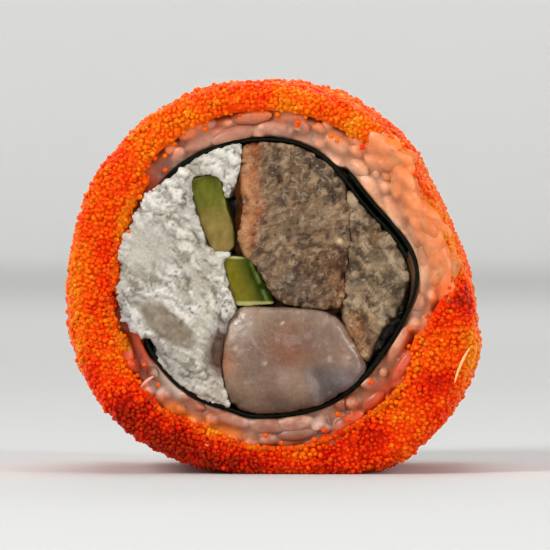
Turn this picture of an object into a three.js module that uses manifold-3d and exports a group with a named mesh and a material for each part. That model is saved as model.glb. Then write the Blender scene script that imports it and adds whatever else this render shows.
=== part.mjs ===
// One slice of an inside-out sushi roll: a coat of fish roe around a ring of rice, a sheet of
// seaweed rolled inside the rice, and five kinds of filling that run from one cut face to the other.
// Millimetres, +Z up. The slice stands on the flattened bottom of its round side. The roll's axis
// runs along Y, and the cut face that is seen first looks along -Y. +X is to the right.

import * as THREE from 'three';
import { mergeVertices } from 'three/addons/utils/BufferGeometryUtils.js';
import Module from 'manifold-3d';

const wasm = await Module();
wasm.setup();

// ---- driving sizes ----------------------------------------------------------------------------

const AXIS_Z = 22.8;            // height of the roll's axis over the surface it stands on
const FACE_Y = 17.2;            // half of the slice's thickness, out to the roe on each cut face
const RIM_R = 2.3;              // rounding of the roe coat where its side meets a cut face
const BARREL = 0.45;            // how much the side draws in from the middle to a rim
const COAT = 1.25;              // thickness of the roe coat on the side
const GAP = 0.3;                // air between neighbouring pieces
const LUMP = 0.42;              // depth of the coat's unevenness
const FLANGE = 0.9;             // least width of the roe on a cut face, inside the rim

// The outline of the slice and the loop of its seaweed, as a mean radius about the axis and the
// share of each harmonic (cosine, sine). The slice has slumped: flat below, widest at a third of
// its height, and the loop inside it leans to the left and is drawn in at the lower right. Dents
// are stretches pressed in: middle and half width in degrees, and depth.
const OUTLINE = {
  mean: 24.26, waves: [[-0.12, -0.84], [0.36, -0.79], [-0.17, -0.93], [-0.43, -0.06]],
  dents: [[12, 34, -0.85], [-36, 20, -0.6]],
};
const LOOP = {
  mean: 16.28, waves: [[-0.94, -0.05], [0.06, -0.21], [0.44, -0.34], [0.19, -0.04], [0.29, 0.09], [0.14, 0.09]],
  dents: [[226, 36, -0.7]],
};

const RICE_Y = 15.9;            // the rice under the roe ends here
const RICE_BAND_Y = 16.85;      // the bare band of rice beside the seaweed ends here
// Width in millimetres of the band between the seaweed and the roe on the cut face, by angle
// from +X in degrees, +Z at 90.
const BAND = [[-150, 2.5], [-122, 3.1], [-90, 3.6], [-65, 3.0], [-40, 3.3], [-22, 1.5], [-10, 2.1],
  [5, 3.7], [22, 4.4], [45, 4.6], [70, 4.2], [100, 3.2], [128, 2.2], [150, 1.5], [175, 1.3], [198, 2.3]];

const NORI_T = 0.5;             // seaweed thickness
const NORI_Y = 16.3;            // half of its width, along the axis
const NORI_START = 10;          // angle of its inner end, degrees
const NORI_LAP = 44;            // how far its outer end lies over the inner one, degrees
const NORI_RAMP = 26;           // angle over which it climbs onto itself, degrees
const NORI_STEP = NORI_T + 0.34;

const SMEAR = { root: 15.8, y0: 16.78, y1: 17.35, inside: 2.6 }; // cheese pressed over the seaweed

const SLANT = 0.012;            // the two cuts aren't quite parallel
const LEAN = 0.45;              // the slice leans a little from the front face to the back

// ---- plain functions of the sizes -------------------------------------------------------------

const rad = (deg) => (deg * Math.PI) / 180;
const smooth = (t) => { const u = Math.min(1, Math.max(0, t)); return u * u * (3 - 2 * u); };

function radius(shape, angle) {
  const whole = shape.waves.reduce(
    (r, [c, s], i) => r + c * Math.cos((i + 1) * angle) + s * Math.sin((i + 1) * angle), shape.mean);
  return shape.dents.reduce((r, [middle, half, depth]) => {
    const off = Math.abs((((((angle * 180) / Math.PI - middle) % 360) + 540) % 360) - 180);
    return r + depth * smooth((half - off) / 14);
  }, whole);
}

// Smooth unevenness between about -1 and 1, with features about `size` millimetres long.
function lumps(x, y, z, size, seed) {
  const k = (2 * Math.PI) / size;
  return (
    Math.sin(k * (0.83 * x + 0.41 * z) + 1.7 * Math.sin(k * 0.37 * y + seed) + seed) * 0.4 +
    Math.sin(k * (0.71 * y - 0.52 * x) + 1.3 * Math.sin(k * 0.43 * z + 2 * seed) + 2.1 * seed) * 0.35 +
    Math.sin(k * (0.64 * z + 0.58 * y) + 1.1 * Math.sin(k * 0.49 * x + 3 * seed) + 3.7 * seed) * 0.35);
}

// Value of a table of [degrees, value] that closes on itself.
function byAngle(table, angle) {
  const first = table[0][0];
  const d = ((((angle * 180) / Math.PI - first) % 360) + 360) % 360 + first;
  for (let i = 0; i < table.length; i++) {
    const [a, va] = table[i];
    const [b, vb] = i + 1 < table.length ? table[i + 1] : [table[0][0] + 360, table[0][1]];
    if (d <= b) return va + (vb - va) * smooth((d - a) / (b - a));
  }
  return table[0][1];
}

// How far the seaweed's layer stands outside the plain loop, at `turn` degrees along the sheet.
const climb = (turn) => NORI_STEP * smooth((turn - (NORI_START + 360 - NORI_RAMP)) / NORI_RAMP);

// The outside of the rolled sheet at an angle, lap included.
function noriOutside(angle) {
  const d = ((((angle * 180) / Math.PI) % 360) + 360) % 360;
  const from = NORI_START - NORI_RAMP;
  const e = d > 180 ? d - 360 : d;
  let lap = 0;
  if (e >= from - 2 && e <= NORI_START + NORI_LAP) lap = NORI_STEP * smooth((e - from + 4) / NORI_RAMP);
  else if (e > NORI_START + NORI_LAP) lap = NORI_STEP * (1 - smooth((e - NORI_START - NORI_LAP - 1.5) / 5));
  return radius(LOOP, angle) + lap + NORI_T / 2;
}

const band = (angle) => byAngle(BAND, angle);
// 1 where cheese is pressed over the seaweed and the rice stays back under it.
const smeared = (angle, y) => {
  const d = ((((angle * 180) / Math.PI) % 360) + 360) % 360;
  const [from, to] = y < 0 ? [136, 208] : [118, 174];
  return smooth((d - from + 8) / 8) * smooth((to + 8 - d) / 8);
};
// The smaller of two lengths, rounded off where they cross.
const lesser = (a, b, soft) => Math.min(a, b) - (Math.max(soft - Math.abs(a - b), 0) ** 2) / (4 * soft);
// The roe on a cut face ends here: beyond the band, and never past the start of the rim.
const roeEdge = (angle) => lesser(
  noriOutside(angle) + GAP + band(angle), radius(OUTLINE, angle) - BARREL - RIM_R - FLANGE, 0.8);

// ---- turning numbers into closed solids -------------------------------------------------------

// rings[i][j] is a point; both directions close on themselves when `wrap` is set, and otherwise
// the first and last rings are shut by fans around their middles.
function skin(rings, wrap) {
  const n = rings[0].length;
  const position = rings.flat().flatMap((p) => [p.x, p.y, p.z]);
  const index = [];
  const last = wrap ? rings.length : rings.length - 1;
  for (let i = 0; i < last; i++) {
    const a = i * n;
    const b = ((i + 1) % rings.length) * n;
    for (let j = 0; j < n; j++) {
      const k = (j + 1) % n;
      index.push(a + j, b + j, b + k, a + j, b + k, a + k);
    }
  }
  if (!wrap) {
    for (const [i, flip] of [[0, false], [rings.length - 1, true]]) {
      const mid = rings[i].reduce((s, p) => s.add(p), new THREE.Vector3()).divideScalar(n);
      const c = position.length / 3;
      position.push(mid.x, mid.y, mid.z);
      for (let j = 0; j < n; j++) {
        const k = (j + 1) % n;
        if (flip) index.push(c, i * n + k, i * n + j);
        else index.push(c, i * n + j, i * n + k);
      }
    }
  }
  const g = new THREE.BufferGeometry();
  g.setAttribute('position', new THREE.Float32BufferAttribute(position, 3));
  g.setIndex(index);
  return outward(g);
}

// Turns the faces to point out, by the sign of the enclosed volume.
function outward(g) {
  const p = g.attributes.position;
  const ix = g.index.array;
  const a = new THREE.Vector3();
  const b = new THREE.Vector3();
  const c = new THREE.Vector3();
  let volume = 0;
  for (let i = 0; i < ix.length; i += 3) {
    a.fromBufferAttribute(p, ix[i]);
    b.fromBufferAttribute(p, ix[i + 1]);
    c.fromBufferAttribute(p, ix[i + 2]);
    volume += a.dot(b.cross(c)) / 6;
  }
  if (volume < 0) for (let i = 0; i < ix.length; i += 3) [ix[i + 1], ix[i + 2]] = [ix[i + 2], ix[i + 1]];
  return g;
}

// A ring-shaped solid: `profile(angle)` gives the closed section as [radius, y] pairs.
function ringSolid(steps, profile) {
  const rings = [];
  for (let i = 0; i < steps; i++) {
    const t = (i / steps) * 2 * Math.PI;
    rings.push(profile(t).map(([r, y]) => new THREE.Vector3(r * Math.cos(t), y, AXIS_Z + r * Math.sin(t))));
  }
  return skin(rings, true);
}

// A rounded outline through a few corners, in the X, Z plane.
function roundedOutline(corners, round, count) {
  const s = new THREE.Shape();
  const n = corners.length;
  const v = corners.map(([x, z]) => new THREE.Vector2(x, z));
  for (let i = 0; i < n; i++) {
    const here = v[i];
    const before = v[(i + n - 1) % n].clone().sub(here);
    const after = v[(i + 1) % n].clone().sub(here);
    const cut = Math.min(round, before.length() * 0.48, after.length() * 0.48);
    const p = here.clone().add(before.setLength(cut));
    const q = here.clone().add(after.setLength(cut));
    if (i === 0) s.moveTo(p.x, p.y); else s.lineTo(p.x, p.y);
    s.quadraticCurveTo(here.x, here.y, q.x, q.y);
  }
  s.closePath();
  const pts = s.getSpacedPoints(count);
  pts.pop();
  return pts;
}

function pushed(points, by) {
  const n = points.length;
  const area = points.reduce((s, p, i) => s + p.cross(points[(i + 1) % n]), 0);
  const side = area > 0 ? 1 : -1;
  return points.map((p, i) => {
    const t = points[(i + 1) % n].clone().sub(points[(i + n - 1) % n]).normalize();
    return new THREE.Vector2(p.x + side * t.y * by, p.y - side * t.x * by);
  });
}

// A filling: an outline run along the axis between two cut ends, a little uneven on the way,
// with each end domed or hollowed. `grow` and `longer` give the space it takes, for cutting
// its neighbours back.
function filling(f, grow = 0, longer = 0) {
  let line = roundedOutline(f.corners, f.round, f.points);
  if (grow) line = pushed(line, grow);
  const mid = line.reduce((s, p) => s.add(p), new THREE.Vector2()).divideScalar(line.length);
  const rings = [];
  const ring = (y, share, dome) => rings.push(line.map((p) => {
    const dx = p.x - mid.x;
    const dz = p.y - mid.y;
    const size = 1 + (f.uneven * lumps(3 * dx, y, 3 * dz, 21, f.seed)) / Math.hypot(dx, dz);
    const turn = rad(f.twist || 0) * (y / FACE_Y);
    const x = (dx * Math.cos(turn) - dz * Math.sin(turn)) * size * share;
    const z = (dx * Math.sin(turn) + dz * Math.cos(turn)) * size * share;
    const rough = (f.rough || 0) * share * lumps(x * 2, y > 0 ? 9 : 0, z * 2, 13, f.seed + 1);
    const out = Math.sign(y) * (dome + (longer ? 0 : rough));
    return new THREE.Vector3(mid.x + x + (f.drift || 0) * (y / FACE_Y), y + out, mid.y + z);
  }));
  const front = -(f.front + longer);
  const back = f.back + longer;
  const dome = longer ? 0 : f.dome || 0;
  const edge = longer ? 0 : f.edge || 0.35;
  for (const s of [0.34, 0.68]) ring(front, s, dome * (1 - s * s));
  ring(front, 1 - edge / 9, 0);
  ring(front + edge, 1, 0);
  const rows = f.rows || 4;
  for (let i = 1; i < rows; i++) ring(front + edge + ((back - front - 2 * edge) * i) / rows, 1, 0);
  ring(back - edge, 1, 0);
  ring(back, 1 - edge / 9, 0);
  for (const s of [0.68, 0.34]) ring(back, s, dome * (1 - s * s));
  return skin(rings, false);
}

function toManifold(geometry) {
  const bare = geometry.clone();
  bare.deleteAttribute('normal');
  bare.deleteAttribute('uv');
  const g = mergeVertices(bare, 1e-5);
  return new wasm.Manifold(new wasm.Mesh({
    numProp: 3,
    vertProperties: new Float32Array(g.attributes.position.array),
    triVerts: new Uint32Array(g.index.array),
  }));
}

function toGeometry(solid) {
  const m = solid.getMesh();
  const g = new THREE.BufferGeometry();
  g.setAttribute('position', new THREE.BufferAttribute(new Float32Array(m.vertProperties), 3));
  g.setIndex(new THREE.BufferAttribute(new Uint32Array(m.triVerts), 1));
  return g;
}

// ---- the coat of roe --------------------------------------------------------------------------

// The side of the slice: its outline, drawn in towards the rims, with lumps.
function coatRadius(angle, y) {
  const r = radius(OUTLINE, angle) - BARREL * (y / FACE_Y) ** 2;
  const x = r * Math.cos(angle);
  const z = r * Math.sin(angle);
  return r + LUMP * 0.6 * lumps(x, y, z, 17, 1.3) + LUMP * 0.4 * lumps(x, y, z, 9, 4.1);
}

function coatProfile(angle) {
  const p = [];
  const side = [-0.72, -0.36, 0, 0.36, 0.72];
  const at = (r, y) => p.push([r, y]);
  const face = (r, end) => {
    const x = r * Math.cos(angle);
    const z = r * Math.sin(angle);
    return end * (FACE_Y + 0.22 * lumps(x, end * 5, z, 8, 2.2 + end));
  };
  const rim = (end) => {
    const r = coatRadius(angle, end * (FACE_Y - RIM_R));
    const edge = roeEdge(angle);
    const steps = [0, 28, 58, 90].map((d) => [
      r - RIM_R * (1 - Math.cos(rad(d))), end * (FACE_Y - RIM_R * (1 - Math.sin(rad(d))))]);
    steps[3][1] = face(steps[3][0], end);
    const inner = [
      [edge + 0.5, face(edge + 0.5, end)],
      [edge, end * (FACE_Y - 0.45)],
      [edge, end * (RICE_Y + GAP)],
    ];
    return steps.concat(inner);
  };
  const front = rim(-1).reverse();
  const back = rim(1);
  front.forEach(([r, y]) => at(r, y));
  side.forEach((s) => { const y = s * (FACE_Y - RIM_R); at(coatRadius(angle, y), y); });
  back.forEach(([r, y]) => at(r, y));
  at(riceRadius(angle, RICE_Y) + GAP, RICE_Y + GAP);
  at(riceRadius(angle, 0) + GAP, 5.4);
  at(riceRadius(angle, 0) + GAP, -5.4);
  at(riceRadius(angle, RICE_Y) + GAP, -RICE_Y - GAP);
  return p;
}

// ---- the ring of rice -------------------------------------------------------------------------

const riceRadius = (angle, y) => {
  // The roe thins where the slice stands on it.
  const r = radius(OUTLINE, angle) - BARREL * (y / FACE_Y) ** 2 - COAT - GAP;
  const floor = (AXIS_Z - 0.95) / Math.max(0.2, -Math.sin(angle));
  return Math.sin(angle) < -0.2 ? Math.min(r, floor) : r;
};

function riceProfile(angle) {
  const inner = noriOutside(angle) + GAP;
  const edge = roeEdge(angle) - GAP;
  const outer = riceRadius(angle, RICE_Y);
  const top = (end) => {
    const open = (1 - smeared(angle, end)) * smooth((band(angle) - 0.9) / 0.9);
    const grain = 0.14 * Math.sin(angle * 23 + end) + 0.1 * Math.sin(angle * 37 + 2 * end);
    return end * (RICE_Y + 0.1 + (RICE_BAND_Y - RICE_Y - 0.1 + grain) * open);
  };
  return [
    [inner, top(-1)], [edge - 0.25, top(-1)], [edge, -RICE_Y],
    [outer - 0.5, -RICE_Y], [outer, -RICE_Y + 0.6],
    [riceRadius(angle, 0), -5.4], [riceRadius(angle, 0), 5.4],
    [outer, RICE_Y - 0.6], [outer - 0.5, RICE_Y],
    [edge, RICE_Y], [edge - 0.25, top(1)], [inner, top(1)],
    [inner, 5.4], [inner, -5.4],
  ];
}

// ---- the rolled sheet of seaweed --------------------------------------------------------------

function noriSheet() {
  const rings = [];
  const turns = 360 + NORI_LAP;
  const count = 66;
  for (let i = 0; i <= count; i++) {
    const turn = NORI_START + (turns * i) / count;
    const t = rad(turn);
    const mid = radius(LOOP, t) + climb(turn);
    const edge = (end) => end * (NORI_Y + 0.1 * Math.sin(t * 9 + end) + 0.06 * Math.sin(t * 17 + 2 * end));
    const section = [
      [mid - NORI_T / 2, edge(-1)], [mid + NORI_T / 2, edge(-1)], [mid + NORI_T / 2, 0],
      [mid + NORI_T / 2, edge(1)], [mid - NORI_T / 2, edge(1)], [mid - NORI_T / 2, 0],
    ];
    rings.push(section.map(([r, y]) => new THREE.Vector3(r * Math.cos(t), y, AXIS_Z + r * Math.sin(t))));
  }
  return skin(rings, false);
}

// ---- the fillings -----------------------------------------------------------------------------

// Corners are X, Z in millimetres; front and back are how far each end reaches from the middle.
const SHRIMP = {
  corners: [[-4.4, 19.7], [7.0, 19.5], [10.4, 14.4], [11.3, 12.4], [7.6, 8.3], [1.0, 6.6],
    [-5.0, 7.4], [-6.3, 13.2]],
  round: 2.4, points: 26, front: 16.9, back: 16.8, dome: 0.75, edge: 0.6, uneven: 0.3, twist: 4,
  rough: 0.1, seed: 0.7, rows: 4,
};
const CUCUMBER_A = {
  corners: [[-5.7, 25.8], [-2.4, 25.4], [0.4, 19.9], [-4.6, 20.0]],
  round: 0.7, points: 18, front: 16.3, back: 16.5, dome: 0.1, edge: 0.25, uneven: 0.12, twist: -3,
  rough: 0.06, seed: 2.3, rows: 3,
};
const CUCUMBER_B = {
  corners: [[-6.8, 26.2], [-4.3, 26.3], [-4.3, 29.0], [-5.5, 31.6], [-6.3, 35.4], [-9.8, 34.8],
    [-8.6, 30.2]],
  round: 0.8, points: 20, front: 16.1, back: 16.4, dome: 0.1, edge: 0.25, uneven: 0.12, twist: 3,
  rough: 0.06, seed: 5.9, rows: 3,
};
const FISH_A = {
  corners: [[0.8, 20.1], [8.1, 19.7], [8.9, 24], [9.0, 31], [7.9, 38.8], [-3.2, 39.6],
    [-3.6, 34.5], [-2.9, 31.4], [-4.0, 28.4], [-3.2, 25.2], [-0.6, 21.8]],
  round: 1.1, points: 28, front: 16.6, back: 16.7, dome: 0.25, edge: 0.35, uneven: 0.3, twist: 0,
  rough: 0.3, seed: 3.1, rows: 3,
};
const FISH_B = {
  corners: [[8.6, 38.6], [9.0, 24], [8.2, 19.0], [10.4, 13.0], [15.4, 12.4], [19.5, 18], [19.5, 28],
    [14.5, 37.5]],
  round: 1.4, points: 22, front: 16.5, back: 16.6, dome: 0.3, edge: 0.35, uneven: 0.25, twist: 0,
  rough: 0.3, seed: 4.4, rows: 3,
};
const CHEESE = {
  corners: [[-3.3, 42], [-3.5, 36], [-6.5, 30], [-4.6, 25], [-4.4, 19.5], [-5.4, 14.5],
    [-4.0, 9], [-1.6, 5], [-22, 5], [-23, 42]],
  round: 1.3, points: 38, front: 16.9, back: 16.8, dome: 0.1, edge: 0.4, uneven: 0.3, twist: 0,
  rough: 0.25, seed: 1.9, rows: 3,
};

// Everything inside the seaweed, less the air between.
function insideLoop() {
  const rings = [];
  for (const y of [-21, -7, 7, 21]) {
    const ring = [];
    for (let i = 0; i < 52; i++) {
      const t = (i / 52) * 2 * Math.PI;
      const r = radius(LOOP, t) - NORI_T / 2 - GAP;
      ring.push(new THREE.Vector3(r * Math.cos(t), y, AXIS_Z + r * Math.sin(t)));
    }
    rings.push(ring);
  }
  return toManifold(skin(rings, false));
}

// The lip of cheese that the knife pressed out over the edge of the seaweed, on one face.
function cheeseLip(end, from, to) {
  const rings = [];
  const count = 10;
  for (let i = 0; i <= count; i++) {
    const u = i / count;
    const t = rad(from + (to - from) * u);
    const reach = Math.sin(Math.PI * u) ** 0.6;
    const mid = radius(LOOP, t);
    const root = mid - NORI_T / 2 - GAP - 0.05;
    const r0 = mid - SMEAR.inside;
    const r1 = root + 0.25 + (band(t) + mid - root - 0.25) * reach + 0.15 * reach * Math.sin(11 * t);
    const y0 = end * SMEAR.y0;
    const y1 = end * (SMEAR.y1 + 0.1 * Math.sin(t * 13) * reach);
    const section = [[r0, end * SMEAR.root], [root, end * SMEAR.root], [root, y0], [r1, y0],
      [r1 - 0.05, y0 + 0.55 * (y1 - y0)], [Math.max(root - 0.3, r1 - 0.4), y1], [r0, y1]];
    rings.push(section.map(([r, y]) => new THREE.Vector3(r * Math.cos(t), y, AXIS_Z + r * Math.sin(t))));
  }
  return toManifold(skin(rings, false));
}

const inside = insideLoop();
const shape = (f) => toManifold(filling(f)).intersect(inside);
const room = (f) => toManifold(filling(f, GAP, 4));

const shrimp = shape(SHRIMP);
const cucumberA = shape(CUCUMBER_A).subtract(room(SHRIMP));
const fishA = shape(FISH_A).subtract(room(SHRIMP)).subtract(room(CUCUMBER_A));
const fishB = shape(FISH_B).subtract(room(SHRIMP)).subtract(room(FISH_A));
const cucumberB = shape(CUCUMBER_B).subtract(room(CUCUMBER_A)).subtract(room(FISH_A));
let cheese = shape(CHEESE).add(cheeseLip(-1, 138, 206)).add(cheeseLip(1, 120, 172));
for (const f of [SHRIMP, CUCUMBER_A, CUCUMBER_B, FISH_A]) cheese = cheese.subtract(room(f));

// ---- assembly ---------------------------------------------------------------------------------

// The whole slice leans and its cuts slant a little; the flat bottom stays flat.
function settle(geometry, onFloor) {
  const p = geometry.attributes.position;
  for (let i = 0; i < p.count; i++) {
    const x = p.getX(i);
    const y = p.getY(i);
    const z = onFloor ? Math.max(0, p.getZ(i)) : p.getZ(i);
    p.setXYZ(i,
      x + LEAN * Math.sin(y / 12) * (z / (2 * AXIS_Z)),
      y * (1 + SLANT * ((z - AXIS_Z) / AXIS_Z) - 0.8 * SLANT * (x / 25)),
      z);
  }
  return geometry;
}

const group = new THREE.Group();
function add(name, geometry, colour, roughness, onFloor = false) {
  const material = new THREE.MeshStandardMaterial({ color: colour, roughness, metalness: 0 });
  const mesh = new THREE.Mesh(settle(geometry, onFloor), material);
  mesh.name = name;
  group.add(mesh);
}

add('roe_coat', ringSolid(68, coatProfile), 0xf2641a, 0.3, true);
add('rice', ringSolid(52, riceProfile), 0xe8dcd4, 0.5);
add('nori', noriSheet(), 0x141a14, 0.6);
add('cream_cheese', toGeometry(cheese), 0xe6e2dc, 0.55);
add('cucumber_a', toGeometry(cucumberA), 0x7f9a3a, 0.35);
add('cucumber_b', toGeometry(cucumberB), 0x7d8a4a, 0.35);
add('fish_a', toGeometry(fishA), 0x8f7560, 0.6);
add('fish_b', toGeometry(fishB), 0x9c8b77, 0.6);
add('shrimp', toGeometry(shrimp), 0xb8a29a, 0.25);

// The origin lies at the middle of the slice's footprint, on the surface it stands on.
const box = new THREE.Box3().setFromObject(group);
group.position.set(-(box.min.x + box.max.x) / 2, -(box.min.y + box.max.y) / 2, 0);
group.updateMatrixWorld(true);

export default group;
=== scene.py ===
"""Looks of a sushi roll slice: real eggs and rice grains around cut fillings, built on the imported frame."""

import math

import bpy
import numpy as np
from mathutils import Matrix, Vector


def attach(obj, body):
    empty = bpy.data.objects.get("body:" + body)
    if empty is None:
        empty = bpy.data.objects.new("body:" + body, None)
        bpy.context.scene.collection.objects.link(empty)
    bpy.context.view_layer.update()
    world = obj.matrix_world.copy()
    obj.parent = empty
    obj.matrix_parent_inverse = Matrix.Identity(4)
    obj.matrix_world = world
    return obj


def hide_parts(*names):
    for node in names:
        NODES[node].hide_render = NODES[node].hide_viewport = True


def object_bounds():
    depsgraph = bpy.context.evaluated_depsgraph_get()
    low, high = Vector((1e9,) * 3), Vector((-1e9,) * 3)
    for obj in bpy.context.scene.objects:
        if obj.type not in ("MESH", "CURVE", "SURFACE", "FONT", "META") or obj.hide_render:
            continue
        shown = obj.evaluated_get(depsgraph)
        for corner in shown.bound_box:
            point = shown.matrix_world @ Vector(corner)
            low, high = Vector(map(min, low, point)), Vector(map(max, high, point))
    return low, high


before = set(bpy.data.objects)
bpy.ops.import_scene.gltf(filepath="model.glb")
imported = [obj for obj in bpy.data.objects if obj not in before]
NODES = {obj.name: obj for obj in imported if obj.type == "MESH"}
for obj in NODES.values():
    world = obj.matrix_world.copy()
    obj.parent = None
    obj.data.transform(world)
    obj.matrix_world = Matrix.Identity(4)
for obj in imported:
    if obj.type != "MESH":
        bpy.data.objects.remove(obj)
CAD_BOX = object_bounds()
MM = 0.001
TAU = 2 * math.pi
rng = np.random.default_rng(4471)

# ---------------------------------------------------------------------------------------------
# The slice's own sizes, in millimetres: the same as the solids they stand in for
# ---------------------------------------------------------------------------------------------

AXIS_Z = 22.8
FACE_Y = 17.2
RIM_R = 2.3
BARREL = 0.45
COAT = 1.25
GAP = 0.3
LUMP = 0.42
OUTLINE = (24.26, ((-0.12, -0.84), (0.36, -0.79), (-0.17, -0.93), (-0.43, -0.06)),
           ((12, 34, -0.85), (-36, 20, -0.6)))
LOOP = (16.28, ((-0.94, -0.05), (0.06, -0.21), (0.44, -0.34), (0.19, -0.04), (0.29, 0.09), (0.14, 0.09)),
        ((226, 36, -0.7),))
RICE_Y = 15.9
RICE_BAND_Y = 16.85
BAND = ((-150, 2.5), (-122, 3.1), (-90, 3.6), (-65, 3.0), (-40, 3.3), (-22, 1.5), (-10, 2.1),
        (5, 3.7), (22, 4.4), (45, 4.6), (70, 4.2), (100, 3.2), (128, 2.2), (150, 1.5), (175, 1.3), (198, 2.3))
FLANGE = 0.9
NORI_T = 0.5
NORI_Y = 16.3
NORI_START = 10.0
NORI_LAP = 44.0
NORI_RAMP = 26.0
NORI_STEP = NORI_T + 0.34
SLANT = 0.012
LEAN = 0.45
SHIFT = (0.1857, -0.0045)


def smooth(t):
    u = np.clip(t, 0.0, 1.0)
    return u * u * (3 - 2 * u)


def radius(shape, a):
    r = np.full_like(np.asarray(a, float), shape[0])
    for i, (c, s) in enumerate(shape[1]):
        r = r + c * np.cos((i + 1) * a) + s * np.sin((i + 1) * a)
    for middle, half, depth in shape[2]:
        off = np.abs(np.mod(np.degrees(a) - middle + 180.0, 360.0) - 180.0)
        r = r + depth * smooth((half - off) / 14)
    return r


def lumps(x, y, z, size, seed):
    k = TAU / size
    return (
        np.sin(k * (0.83 * x + 0.41 * z) + 1.7 * np.sin(k * 0.37 * y + seed) + seed) * 0.4
        + np.sin(k * (0.71 * y - 0.52 * x) + 1.3 * np.sin(k * 0.43 * z + 2 * seed) + 2.1 * seed) * 0.35
        + np.sin(k * (0.64 * z + 0.58 * y) + 1.1 * np.sin(k * 0.49 * x + 3 * seed) + 3.7 * seed) * 0.35
    )


def by_angle(table, a):
    """Value of a closed table of (degrees, value) at the angles a, in radians."""
    first = table[0][0]
    d = np.mod(np.degrees(a) - first, 360.0) + first
    out = np.full_like(d, table[0][1])
    closed = list(table) + [(table[0][0] + 360, table[0][1])]
    for (p, vp), (q, vq) in zip(closed[:-1], closed[1:]):
        hit = (d >= p) & (d <= q)
        out = np.where(hit, vp + (vq - vp) * smooth((d - p) / (q - p)), out)
    return out


def degrees(a):
    return np.mod(np.degrees(a), 360.0)


def nori_outside(a):
    d = degrees(a)
    e = np.where(d > 180, d - 360, d)
    start = NORI_START - NORI_RAMP
    end = NORI_START + NORI_LAP
    lap = np.where((e >= start - 2) & (e <= end), NORI_STEP * smooth((e - start + 4) / NORI_RAMP), 0.0)
    lap = np.where(e > end, NORI_STEP * (1 - smooth((e - end - 1.5) / 5)), lap)
    return radius(LOOP, a) + lap + NORI_T / 2


def band(a):
    return by_angle(BAND, a)


def smeared(a, end):
    d = degrees(a)
    lo = np.where(end < 0, 136.0, 118.0)
    hi = np.where(end < 0, 208.0, 174.0)
    return smooth((d - lo + 8) / 8) * smooth((hi + 8 - d) / 8)


def roe_edge(a):
    p = nori_outside(a) + GAP + band(a)
    q = radius(OUTLINE, a) - BARREL - RIM_R - FLANGE
    return np.minimum(p, q) - np.maximum(0.8 - np.abs(p - q), 0) ** 2 / 3.2


def coat_radius(a, y):
    r = radius(OUTLINE, a) - BARREL * (y / FACE_Y) ** 2
    x, z = r * np.cos(a), r * np.sin(a)
    return r + LUMP * 0.6 * lumps(x, y, z, 17, 1.3) + LUMP * 0.4 * lumps(x, y, z, 9, 4.1)


def rice_radius(a, y):
    r = radius(OUTLINE, a) - BARREL * (y / FACE_Y) ** 2 - COAT - GAP
    s = np.sin(a)
    floor = (AXIS_Z - 0.95) / np.maximum(0.2, -s)
    return np.where(s < -0.2, np.minimum(r, floor), r)


def settle(p, floor=None):
    """Section coordinates to the frame's: the slice leans, its cuts slant, and it stands on z = 0."""
    x, y, z = p[..., 0], p[..., 1], p[..., 2]
    if floor is not None:
        z = np.maximum(floor, z)
    return np.stack([
        x + LEAN * np.sin(y / 12) * (z / (2 * AXIS_Z)) + SHIFT[0],
        y * (1 + SLANT * ((z - AXIS_Z) / AXIS_Z) - 0.8 * SLANT * (x / 25)) + SHIFT[1],
        z,
    ], axis=-1)


def polar(r, y, a):
    return np.stack([r * np.cos(a), y + 0 * r, AXIS_Z + r * np.sin(a)], axis=-1)


# ---------------------------------------------------------------------------------------------
# Noise on arrays of points
# ---------------------------------------------------------------------------------------------

def _hash(i, j, k, seed):
    h = (i.astype(np.int64) * 73856093) ^ (j.astype(np.int64) * 19349663) ^ (k.astype(np.int64) * 83492791)
    h = (h ^ (seed * 2654435761)) & 0xFFFFFFFF
    h = ((h ^ (h >> 15)) * 2246822519) & 0xFFFFFFFF
    h = ((h ^ (h >> 13)) * 3266489917) & 0xFFFFFFFF
    return (h ^ (h >> 16)) & 0xFFFFFFFF


def gnoise(p, seed=0):
    """Smooth noise of about -1 to 1 at points p (N, 3)."""
    f = np.floor(p)
    t = p - f
    w = t * t * t * (t * (t * 6 - 15) + 10)
    f = f.astype(np.int64)
    out = np.zeros(len(p))
    for dx in (0, 1):
        for dy in (0, 1):
            for dz in (0, 1):
                h = _hash(f[:, 0] + dx, f[:, 1] + dy, f[:, 2] + dz, seed)
                gx = ((h & 1023) / 511.5) - 1
                gy = (((h >> 10) & 1023) / 511.5) - 1
                gz = (((h >> 20) & 1023) / 511.5) - 1
                d = gx * (t[:, 0] - dx) + gy * (t[:, 1] - dy) + gz * (t[:, 2] - dz)
                wx = w[:, 0] if dx else 1 - w[:, 0]
                wy = w[:, 1] if dy else 1 - w[:, 1]
                wz = w[:, 2] if dz else 1 - w[:, 2]
                out += d * wx * wy * wz
    return out * 1.25


def fbm(p, octaves=4, seed=0, gain=0.5):
    out = np.zeros(len(p))
    amp, total = 1.0, 0.0
    for o in range(octaves):
        out += amp * gnoise(p * (2.03 ** o), seed + 17 * o)
        total += amp
        amp *= gain
    return out / total


def ridged(p, octaves=4, seed=0, gain=0.55):
    out = np.zeros(len(p))
    amp, total = 1.0, 0.0
    for o in range(octaves):
        out += amp * (1 - 2 * np.abs(gnoise(p * (2.07 ** o), seed + 31 * o)))
        total += amp
        amp *= gain
    return out / total


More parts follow.
